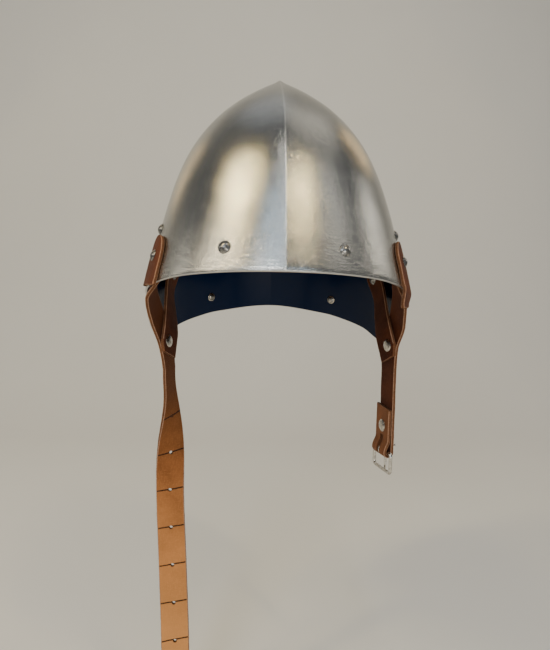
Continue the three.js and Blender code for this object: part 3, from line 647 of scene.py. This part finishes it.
def frames_along(points, normal_at):
    """Across and normal directions at each point of a path."""
    tangent = np.gradient(points, axis=0)
    across = [unit(np.cross(t, normal_at(at))) for at, t in zip(points, tangent)]
    return np.array(across), np.array([unit(np.cross(a, t)) for a, t in zip(across, tangent)])


def leg_path(side, rear):
    """Places, across, normals and half widths of a leg from its rounded upper end down."""
    out, rise, junction = junction_out(side), strap_rise(side), junction_point(side, 1 if rear else 0)
    if rear:
        parting = junction + lean_of(side, rise, -26) * 12
        top = on_wall(side, REAR_ANGLE, REAR_RIVET_Z)
        knots = [on_wall(side, 112.5, 13), top]
        knots += [top * (1 - share) + parting * share + np.array([side * bow, 0, 0])
                  for share, bow in ((.3, 2.0), (.62, 1.0))]
        knots += [parting, junction, 2 * junction - parting]
        wall, heights = skull_normal(side * math.radians(REAR_ANGLE), REAR_RIVET_Z), (-44, -6)
    else:
        knots = [on_wall(side, TAB_ANGLE, h) for h in (19, TAB_RIVET_Z, 4)]
        knots += [np.array([side * EXIT[side], -32, -13]), junction + lean_of(side, rise, 24) * 24, junction,
                  leg_end(side)]
        wall, heights = skull_normal(side * TAB_TURN, TAB_RIVET_Z), (-12, 5)
    points, length = catmull(knots)

    def normal_at(at):
        """From the wall's normal to the junction's, and on a front leg to the hanging strap's."""
        flat = smooth(*heights, at[2])
        hung = 0 if rear else 1 - smooth(HINGE_Z, JUNCTION_Z, at[2])
        return unit(out * (1 - flat) * (1 - hung) + out_after(side, TWIST) * hung + wall * flat)

    across, normal = frames_along(points, normal_at)
    end = 12 * (1 - np.cos(np.linspace(.12, math.pi / 2, 12)))
    wanted = np.concatenate([end, np.arange(13, length, ROW), [length] if rear else []])
    pick = np.clip((wanted / length * (len(points) - 1)).round().astype(int), 0, len(points) - 1)
    half = [round_end(w, STRAP_WIDTH / 2) for w in wanted]
    return points[pick], across[pick], normal[pick], np.array(half)


def strip_section(half, bulge):
    """Ring of (across, out, kind) places: kind 0 grain side, 1 flesh side, 2 rounded cut edge."""
    thick, round_ = LEATHER / 2, .6
    spread = np.linspace(round_ - half, half - round_, 9)
    corner = [(half - round_ + round_ * math.sin(a), thick - round_ + round_ * math.cos(a))
              for a in map(math.radians, (25, 55, 90))]
    edge = corner + [(half + bulge, 0)] + [(a, -n) for a, n in corner[::-1]]
    return ([(a, thick + .1 * (1 - (a / half)**2), 0) for a in spread] + [(a, n, 2) for a, n in edge]
            + [(a, -thick - .05 * (1 - (a / half)**2), 1) for a in spread[::-1]]
            + [(-a, n, 2) for a, n in edge[::-1]])


def strip(name, at, across, normal, half, materials, slope=None, seed=0.0, zero=0, folded=None):
    """A leather strip. Its texture starts at row zero, and its slope skews rows along the strip.

    From row folded on, the grain side has the fourth material, a lighter copy with painted light.
    """
    along = np.concatenate([[0], np.cumsum(np.linalg.norm(np.diff(at, axis=0), axis=1))])
    along -= along[zero]
    points, place, corner = [], [], []
    for i in range(len(at)):
        h = max(half[i], .8)
        section = strip_section(h, .12)
        wave = .22 * noise.noise(Vector((along[i] / 17, seed, 0)))
        for a, n, kind in section:
            push = 0.0
            if kind == 2:
                push = .16 * noise.noise(Vector((along[i] / 1.3, n * 1.2, seed + (a > 0) * 9)))
                push += .12 * noise.noise(Vector((along[i] / 6, n * .4, seed + (a > 0) * 5)))
                push = math.copysign(1, a) * push
            p = at[i] + across[i] * (a + push) + normal[i] * (n + wave)
            if slope is not None:
                p = p + slope[i] * a / h
            points.append(p)
            place.append((along[i] / 1000, a / 1000))
            corner.append(min(abs(n) / (LEATHER / 2), 1))
    kinds = [kind for _, _, kind in section]
    size = len(kinds)
    faces, index = grid_faces(len(at), size), []
    for i in range(len(at) - 1):
        ring = [2 if 2 in (kinds[j], kinds[k]) else kinds[j] for j, k in around(size)]
        index += [3 if kind == 0 and folded is not None and i >= folded else kind for kind in ring]
    for row in (0, len(at) - 1):
        middle = len(points)
        points.append(np.mean(points[row * size:(row + 1) * size], 0))
        place.append((along[row] / 1000, 0))
        corner.append(0)
        cap = [(row * size + k, row * size + j, middle) for j, k in around(size)]
        faces += [f[::-1] for f in cap] if row else cap
        index += [2] * size
    if np.dot(np.cross(points[1] - points[0], points[size] - points[0]), normal[0]) < 0:
        faces = [f[::-1] for f in faces]
    uvs = [place[v] for f in faces for v in f]
    return new_object(name, points, faces, materials, index, uvs, corner=corner)


def drill(obj, cutters):
    """Cuts closed meshes out of a piece. The cut walls take the piece's third material."""
    for points, faces in cutters:
        cutter = new_object("cutter", points, faces, list(obj.data.materials), [2] * len(faces), flat=True)
        work = obj.modifiers.new("cut", "BOOLEAN")
        work.object, work.operation, work.solver, work.material_mode = cutter, "DIFFERENCE", "EXACT", "INDEX"
        ready = bpy.data.meshes.new_from_object(obj.evaluated_get(bpy.context.evaluated_depsgraph_get()))
        obj.modifiers.clear()
        old, obj.data = obj.data, ready
        name = old.name
        bpy.data.meshes.remove(old)
        ready.name = name
        bpy.data.objects.remove(cutter)


def peg(at, axis, radius, reach):
    return turned([(0, -reach), (radius, -reach), (radius, reach), (0, reach)], 28, at, axis)


def box(centre, axes, sizes):
    """Points and faces of a box, its faces outwards for axes of either hand."""
    corners = [centre + sum(axes[k] * sizes[k] / 2 * s[k] for k in range(3))
               for s in ((-1, -1, -1), (1, -1, -1), (1, 1, -1), (-1, 1, -1),
                         (-1, -1, 1), (1, -1, 1), (1, 1, 1), (-1, 1, 1))]
    faces = [(3, 2, 1, 0), (4, 5, 6, 7), (0, 1, 5, 4), (1, 2, 6, 5), (2, 3, 7, 6), (3, 0, 4, 7)]
    if np.dot(np.cross(axes[0], axes[1]), axes[2]) < 0:
        faces = [f[::-1] for f in faces]
    return np.array(corners), faces


def punched_place(drop):
    """Place, across and normal of the punched strap at a length below its hinge line."""
    way = drop / PUNCHED_LENGTH
    at = hinge_point(-1) + np.array([SWING_IN * float(table_value(LEAN, way)), -SWING_FORWARD * way, -drop])
    a = TWIST + (math.radians(90) - TWIST) * float(smooth(*UNTWIST, drop))
    return at, across_after(-1, a), out_after(-1, a)


def pointed_end(distance, half):
    inside = min(max(1 - distance / (2 * half), 0), 1)
    return half * (1 - inside**2)


def joined(leg, strap):
    return (np.concatenate(pair) for pair in zip(leg, strap))


def make_right_strap():
    leg = leg_path(-1, False)
    start = len(leg[0])
    drops = np.concatenate([np.arange(0, PUNCHED_LENGTH - 24, ROW),
                            np.linspace(PUNCHED_LENGTH - 23.5, PUNCHED_LENGTH, 34)])
    wide = [max(pointed_end(PUNCHED_LENGTH - d, STRAP_WIDTH / 2), 1.2) for d in drops]
    at, across, normal, half = joined(leg, (*zip(*map(punched_place, drops)), wide))
    if np.dot(across[start - 1], across[start]) < 0:
        across[:start] *= -1
    strap = strip("chin_strap_punched", at, across, normal, half, [GRAIN, LINED_LIT, CUT], seed=3.0, zero=start)
    holes = [punched_place(FIRST_HOLE + HOLE_PITCH * i) for i in range(HOLES)]
    drill(strap, [peg(p, n, HOLE_RADIUS, 2 * STRAP) for p, _, n in holes])
    piece(strap, None, "front_leg_right", "punched_strap", slot="strap_leather")
    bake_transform(strap)


def buckle_place(out, height):
    p = hinge_point(1) + out_after(1, TWIST) * out
    p[2] = height
    return p


def make_left_strap():
    leg = leg_path(1, False)
    start = len(leg[0])
    pinch = 2 * LOOP - STRAP - GAP
    down = [buckle_place(0, z) for z in np.arange(HINGE_Z, BAR_Z, -ROW)]
    fold = [buckle_place(LOOP * (math.cos(a) - 1), BAR_Z - LOOP * math.sin(a))
            for a in np.linspace(0, math.pi, 22)]
    fold += [buckle_place(-2 * LOOP + pinch * float(smooth(0, 1, s)), BAR_Z + 11 * s)
             for s in np.linspace(.06, 1, 14)]
    fold += [buckle_place(-STRAP - GAP, z) for z in np.arange(BAR_Z + 12, FOLD_TOP_Z, ROW)]
    path = np.array(down + fold)
    line = across_after(1, TWIST)
    path_normal = np.array([unit(np.cross(line, t)) for t in np.gradient(path, axis=0)])
    if np.dot(path_normal[0], out_after(1, TWIST)) < 0:
        path_normal = -path_normal
    way = 1 if np.dot(leg[1][-1], line) > 0 else -1
    skewed = 24
    slope = np.zeros((start + len(path), 3))
    slope[-skewed:, 2] = -1.5 * way * np.linspace(0, 1, skewed)
    hanging = path, np.tile(line * way, (len(path), 1)), path_normal, np.full(len(path), STRAP_WIDTH / 2)
    strap = strip("chin_strap_buckle", *joined(leg, hanging), [GRAIN, FLESH, CUT, LIT_TAB_FOLD],
                  slope=slope, seed=8.0, folded=start + len(down))
    below = LOOP + STRAP + 2
    middle = buckle_place(-LOOP, BAR_Z + (SLOT_ABOVE - below) / 2)
    drill(strap, [box(middle, [out_after(1, TWIST), across_after(1, TWIST), UP],
                      [4 * LOOP + 2 * STRAP, SLOT_WIDTH, SLOT_ABOVE + below])])
    piece(strap, None, "front_leg_left", "buckle_strap", slot="strap_leather")
    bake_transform(strap)


def trim_front(obj, side):
    """Cuts off what stands in front of the strap's front edge at the junction."""
    line, size = across_after(side, LEG_TWIST), 46
    centre = junction_point(side, 1) + line * (STRAP_WIDTH / 2 + size / 2)
    drill(obj, [box(centre, [out_after(side, LEG_TWIST), line, UP], [size] * 3)])


def make_rear_legs():
    for side in (1, -1):
        name = f"rear_leg_leather_{WORD[side]}"
        leg = strip(name, *leg_path(side, True), [GRAIN, FLESH, CUT], seed=20.0 + side)
        trim_front(leg, side)
        piece(leg, "helmet", f"rear_leg_{WORD[side]}", slot="strap_leather")


def make_cap_rivets():
    profile = rivet_profile(*FLAT_HEAD, STRAP + GAP + LEATHER + 2 * CLEAR, *FLAT_HEAD, flat=.75)
    seat, forward = LEATHER / 2 + CLEAR, 3
    for side in (1, -1):
        out = junction_out(side)
        at = junction_point(side, 0) + across_after(side, LEG_TWIST) * forward + out * seat
        make_rivet(f"junction_cap_rivet_{WORD[side]}", "helmet", f"junction_rivet_{WORD[side]}", at, out,
                   profile, CAP, side)
    make_rivet("buckle_cap_rivet", "buckle_half", "buckle_rivet", buckle_place(seat, BUCKLE_RIVET_Z),
               out_after(1, TWIST), profile, CAP, 5.0)


def slab(name, middle, normal, thick, materials, wrap=False, seed=0.0):
    """A sheet of a given thickness about a grid of points, with rounded cut edges."""
    rows, columns = middle.shape[:2]
    points = [(middle + normal * thick / 2).reshape(-1, 3), (middle - normal * thick / 2).reshape(-1, 3)]
    n = rows * columns
    faces = grid_faces(rows, columns, wrap)
    index = [0] * len(faces) + [1] * len(faces)
    faces = faces + [tuple(v + n for v in reversed(f)) for f in faces]
    grid = np.arange(n).reshape(rows, columns)
    loops = [grid[0], grid[-1][::-1]] if wrap else [np.concatenate(
        [grid[0], grid[1:, -1], grid[-1, -2::-1], grid[-2:0:-1, 0]])]
    inner_row = np.clip(np.arange(rows), 1, rows - 2)
    inner_column = np.arange(columns) if wrap else np.clip(np.arange(columns), 1, columns - 2)
    inward = grid[np.ix_(inner_row, inner_column)].reshape(-1)
    flat_middle = middle.reshape(-1, 3)
    count = 2 * n
    for loop in loops:
        ring = range(count, count + len(loop))
        count += len(loop)
        for v in loop:
            away = flat_middle[v] - flat_middle[inward[v]]
            length = np.linalg.norm(away)
            away = away / length if length > 1e-6 else away
            rough = .2 * noise.noise(Vector(flat_middle[v]) / 2.1 + Vector((seed, 0, 0)))
            points.append((flat_middle[v] + away * (thick * .3 + rough))[None])
        for a, b in around(len(loop)):
            faces.append((loop[b], loop[a], ring[a], ring[b]))
            faces.append((ring[b], ring[a], loop[a] + n, loop[b] + n))
            index += [2, 2]
    points = np.vstack(points)
    place = np.zeros((len(points), 2))
    along = np.linalg.norm(np.diff(middle, axis=0), axis=2).cumsum(0)
    across = np.linalg.norm(np.diff(middle, axis=1), axis=2).cumsum(1)
    along = np.vstack([np.zeros((1, columns)), along]).reshape(-1)
    across = np.hstack([np.zeros((rows, 1)), across]).reshape(-1)
    place[:n] = place[n:2 * n] = np.stack([along, across], 1) / 1000
    place[2 * n:] = place[np.concatenate(loops)]
    a, b, c = (points[faces[0][k]] for k in range(3))
    if np.dot(np.cross(b - a, c - a), normal[0, 0]) < 0:
        faces = [f[::-1] for f in faces]
    uvs = [place[v].tolist() for f in faces for v in f]
    corner = np.ones(len(points))
    corner[2 * n:] = 0
    return new_object(name, points, faces, materials, index, uvs, corner=corner)


def turn_aside(turn, height, distance):
    """Turn at a distance along the skull's face from another turn."""
    step = PROBE / HALF_WIDTH
    reach = np.linalg.norm(skull_face(turn + step, height) - skull_face(turn - step, height), axis=-1)
    return turn + distance * 2 * step / reach


def sheet(name, rows, uneven, thick, materials, rule=lambda depth: depth, hanging=0, **more):
    """Leather on the skull, from rows of (turns, heights, distance out of the skull's face).

    Uneven is the size, depth and seed of its lumps. The first rows, as many as hanging, face as they lie.
    """
    middle = np.array([skull_face(turns, heights) + skull_normal(turns, heights) * out
                       for turns, heights, out in rows])
    normal = np.array([skull_normal(turns, heights) for turns, heights, _ in rows])
    for i in range(hanging):
        n = units(np.cross(np.gradient(middle[i], axis=0), units(middle[i + 1] - middle[i])))
        normal[i] = n * np.sign(np.sum(n * normal[i], -1, keepdims=True))
    depth = rule(lumps(middle.reshape(-1, 3), *uneven).reshape(middle.shape[:2]))
    return slab(name, middle + normal * depth[..., None], normal, thick, materials, **more)


def make_tabs():
    half, shoulder = TAB_WIDTH / 2, TAB_TOP - TAB_WIDTH / 2
    spread, hanging, out = np.linspace(-1, 1, 19), 16, GAP + LEATHER / 2
    for side in (1, -1):
        centre = side * TAB_TURN
        bottom = float(rim_height(centre)) - TAB_DROP[side]
        low, high = (turn_aside(centre, height, spread * half) for height in (bottom, shoulder))
        rows = []
        for share in np.linspace(0, 1, hanging):
            curl = TAB_CURL[side] * float(smooth(0, 1, 1 - share))
            rows.append((low, bottom + (rim_height(low) - GAP - bottom) * share, GAP - curl + LEATHER / 2))
        for share in np.linspace(.06, 1, 18):
            rim = rim_height(high) - GAP
            rows.append((high, rim + (shoulder - rim) * share, out))
        for share in np.sin(np.linspace(.08, math.pi / 2 - .03, 16)):
            height = shoulder + half * share
            width = max(round_end(TAB_TOP - height, half), .8)
            rows.append((turn_aside(centre, height, spread * width), np.full(len(spread), height), out))
        tab = sheet(f"tab_leather_{WORD[side]}", rows, (12, .18, side * 3.0), LEATHER, [GRAIN, FLESH, CUT],
                    hanging=hanging, seed=side)
        piece(tab, "helmet", f"outer_tab_{WORD[side]}", slot="strap_leather")


# Liner

def band_height(turn):
    """Middle of the liner band: low at the brow, higher from the temples back."""
    return BAND_LOW + BAND_RISE * smooth(.16, .36, from_brow(turn))


def make_liner():
    materials = [LINER_GRAIN, LINER_FLESH, CUT]
    turns = np.linspace(0, 2 * math.pi, 240, endpoint=False)
    rows = [(turns, band_height(turns) + part * BAND_WIDTH, -(PLATE + GAP + LINER / 2))
            for part in np.linspace(-.5, .5, 11)]
    band = sheet("liner_band_leather", rows, (14, .5, 2.0), LINER_DRAWN, materials,
                 rule=lambda depth: np.minimum(depth, .2), wrap=True)
    piece(band, "helmet", "liner_band", slot="liner_leather")

    pitch = 2 * math.pi / TONGUES
    for number in range(TONGUES):
        turns = (number + .5) * pitch + np.linspace(-.5, .5, 15) * pitch * TONGUE_SHARE
        base = band_height(turns) + BAND_WIDTH / 2 - TONGUE_LAP
        rows = [(turns, base + (TONGUE_TOP - base) * climb,
                 -(PLATE + 3 * GAP + LINER + TONGUE_SAG * climb**2 + LINER / 2))
                for climb in np.linspace(0, 1, 30)]
        tongue = sheet(f"liner_tongue_leather_{number + 1}", rows, (22, .5, number * 2.0), LINER_DRAWN,
                       materials, rule=lambda depth: -np.abs(depth), seed=number)
        piece(tongue, "helmet", f"liner_tongue_{number + 1}", slot="liner_leather")

    sides = 96
    profile = [(0, 0), (20, 0), (31.6, 0), (32.6, .4), (33, 1.2), (32.8, 2.2), (31.6, 3), (20, 3), (0, 3)]
    points, faces = turned(profile, sides, SEAT, UP, .004, 4.0)
    uvs = [(points[v][:2] / 1000).tolist() for f in faces for v in f]
    index = [1] * (2 * sides) + [0] * (len(faces) - 2 * sides)
    disc = new_object("liner_crown_leather", points, faces, materials, index, uvs)
    piece(disc, "helmet", "liner_crown_disc", slot="liner_leather")


# Buckle

def tube(name, path, radius, closed=False, ends=0.0):
    """A round wire along points, its radius given at shares of the way. Open ends stand out by ends."""
    path, sides = np.asarray(path, float), 20
    count = len(path)
    points, side = [], None
    for i in range(count):
        before = path[(i - 1) % count] if closed or i else path[0]
        after = path[(i + 1) % count] if closed or i < count - 1 else path[-1]
        tangent = unit(after - before)
        guess = side if side is not None else UP if abs(tangent[2]) < .9 else np.array([1.0, 0, 0])
        side = unit(guess - tangent * np.dot(guess, tangent))
        other = np.cross(tangent, side)
        for k in range(sides):
            a = 2 * math.pi * k / sides
            points.append(path[i] + (side * math.cos(a) + other * math.sin(a)) * radius(i / (count - 1)))
    faces = grid_faces(count, sides, closed=closed)
    if not closed:
        for row, beside in ((0, 1), (count - 1, count - 2)):
            tip = len(points)
            points.append(path[row] + unit(path[row] - path[beside]) * ends)
            faces += [(row * sides + m, row * sides + k, tip) for k, m in around(sides)]
    obj = new_object(name, np.array(points), faces, [BUCKLE])
    work = bmesh.new()
    work.from_mesh(obj.data)
    bmesh.ops.recalc_face_normals(work, faces=work.faces)
    work.to_mesh(obj.data)
    work.free()
    return obj


def buckle_point(x, y, z):
    """Place measured from the buckle's bar: out, back along the bar, and up."""
    back = -across_after(1, TWIST)
    return buckle_place(-LOOP, BAR_Z) + out_after(1, TWIST) * x + back * y + UP * z


def make_buckle():
    half, low, r = BUCKLE_WIDTH / 2 - WIRE, -17.0, 3.0
    outline = []
    for side, z, quarter in ((1, 0, 0), (-1, 0, 1), (-1, low, 2), (1, low, 3)):
        inset = -r if z == 0 else r
        for k in range(9):
            a = math.pi / 2 * (quarter + k / 8)
            outline.append(buckle_point(0, side * (half - r) + r * math.cos(a), z + inset + r * math.sin(a)))
    dense = []
    for a, b in zip(outline, outline[1:] + outline[:1]):
        count = max(1, int(np.linalg.norm(b - a) / 1.2))
        dense += [a + (b - a) * i / count for i in range(count)]
    piece(tube("buckle_wire_frame", dense, lambda t: WIRE, closed=True), "frame_swing", "buckle_frame",
          slot="buckle_nickel")

    eye, reach, tail_reach = WIRE + GAP + PRONG, 18.5, 12
    shaft = [buckle_point(eye, 0, -reach * t) for t in np.linspace(0, 1, 20)]
    ring = [buckle_point(eye * math.cos(a), 0, eye * math.sin(a))
            for a in np.linspace(0, 2 * math.pi, 36, endpoint=False)]
    tail = [buckle_point(tail_reach * t, 0, eye) for t in np.linspace(0, 1, 12)]
    parts = [tube("prong_shaft", shaft, lambda t: PRONG * (1 - .3 * t**4), ends=.5),
             tube("prong_eye", ring, lambda t: PRONG, closed=True),
             tube("prong_tail", tail, lambda t: PRONG * (1 - .12 * t), ends=.35)]
    for part in parts:
        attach(part, "prong_swing")
    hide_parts("buckle_prong")


make_right_strap()
make_left_strap()
make_rear_legs()
make_tabs()
make_cap_rivets()
make_liner()
make_buckle()


# Stage, light and camera

def make_stage():
    """A paper sweep: floor, curve and wall, in metres from the seat."""
    floor_z, back_y, bend = -.4952, 1.5, .7
    path = [(-1.6, floor_z), (back_y - bend, floor_z)]
    path += [(back_y - bend + bend * math.sin(a), floor_z + bend - bend * math.cos(a))
             for a in np.linspace(.1, math.pi / 2, 14)]
    path += [(back_y, 2.6)]
    p = Paint("studio_paper")
    colour = p.mix(p.noise(3, detail=3), (.74, .74, .73), (.79, .785, .77))
    mesh = bpy.data.meshes.new("studio_sweep")
    mesh.from_pydata([(x, y, z) for y, z in path for x in (-3, 3)], [],
                     [(2 * i, 2 * i + 1, 2 * i + 3, 2 * i + 2) for i in range(len(path) - 1)])
    mesh.materials.append(p.finish(colour=colour, rough=.9, specular=.2))
    mesh.polygons.foreach_set("use_smooth", [True] * len(mesh.polygons))
    sweep = add_object("studio_sweep", mesh)


WARM, COOL, GOLD, IVORY, CREAM = (1, .77, .34), (.58, .78, 1), (1, .68, .30), (1, .93, .80), (1, .89, .70)
# Area lights: name, azimuth from the viewer to the right, elevation, distance, height aimed at,
# size, power and colour. Lengths are in metres from the seat.
LIGHTS = [
    ("warm_left_high", -53, 54, 1.6, 0, (.09, .16), 2.3, WARM),
    ("warm_left_low", -62, 43, 1.6, 0, (.10, .24), 5.6, WARM),
    ("warm_right", 37, 49, 1.6, 0, (.08, .30), 3.6, WARM),
    ("soft_left", -62, 42, 2.0, 0, (.45, 1.0), 4.0, CREAM),
    ("soft_right", 36, 50, 2.0, 0, (.32, .9), 2.4, CREAM),
    ("ridge_strip", 0, 58, 1.7, 0, (.06, 1.1), 3, (1, .97, .92)),
    ("window", -20, 38, 1.9, -.1, (.34, 1.0), 2.7, COOL),
    ("window_low", -22, 18, 1.9, -.1, (.6, .5), 7.0, (.93, .97, 1)),
    ("window_right", 24, 14, 1.9, -.1, (.2, .4), 1.2, COOL),
    ("low_left", -62, 20, 1.9, -.1, (.8, .4), 6.0, (1, .86, .62)),
    ("low_right", 66, 40, 2.0, -.1, (.5, 1.0), 1.8, (1, .96, .88)),
    ("side_left", -96, 12, 1.8, -.1, (.3, .4), 1.2, (1, .93, .78)),
    ("side_right", 106, 22, 1.8, -.1, (.12, .6), 1.8, IVORY),
    ("glow_left", -138, 26, 1.8, 0, (.08, .6), .7, GOLD),
    ("glow_right", 136, 34, 1.8, 0, (.08, .5), .8, GOLD),
    ("low_front", 16, -14, 1.7, -.35, (1.2, .6), 12, IVORY),
    ("high_right", 120, 64, 1.9, 0, (1.0, .9), 1.9, IVORY),
    ("high_left", -165, 68, 1.9, 0, (1.0, .9), 1.1, (.95, .97, 1)),
]


def make_light():
    for name, azimuth, elevation, reach, aim, size, power, colour in LIGHTS:
        light = bpy.data.lights.new(name, "AREA")
        light.shape = "RECTANGLE"
        light.size, light.size_y = size
        light.energy, light.color = power, colour
        a, e = math.radians(azimuth), math.radians(elevation)
        at = Vector((reach * math.sin(a) * math.cos(e), -reach * math.cos(a) * math.cos(e),
                     reach * math.sin(e)))
        obj = add_object(name, light)
        obj.location = at
        obj.rotation_euler = (Vector((0, 0, aim)) - at).to_track_quat("-Z", "Y").to_euler()
    world = bpy.context.scene.world = bpy.data.worlds.new("studio")
    world.use_nodes = True
    sky = world.node_tree.nodes["Background"]
    sky.inputs["Color"].default_value = (.82, .83, .82, 1)
    sky.inputs["Strength"].default_value = .22


def make_camera():
    """The photograph's camera. The helmet's own turn and tilt are in its place."""
    height, focal, sensor = 650, 500, 36
    yaw, roll, pitch = math.radians(2.635), math.radians(1.312), math.radians(3.43)
    eye = Vector((-1.866, -428.385, -15.278))
    camera = bpy.data.cameras.new("camera")
    camera.sensor_fit = "VERTICAL"
    camera.sensor_height = sensor
    camera.lens = sensor * focal / height
    camera.shift_x = .5 / height
    camera.clip_start = .02
    turn = Matrix.Rotation(roll, 3, "Y") @ Matrix.Rotation(yaw, 3, "Z")
    back = turn.transposed()
    place = Matrix.Identity(4)
    for i, axis in enumerate(((1, 0, 0), (0, math.sin(pitch), math.cos(pitch)),
                              (0, -math.cos(pitch), math.sin(pitch)))):
        place.col[i][:3] = back @ Vector(axis)
    place.translation = (back @ eye - Vector(SEAT)) / 1000
    obj = add_object("camera", camera)
    obj.matrix_world = place
    bpy.context.scene.camera = obj


make_stage()
make_light()
make_camera()
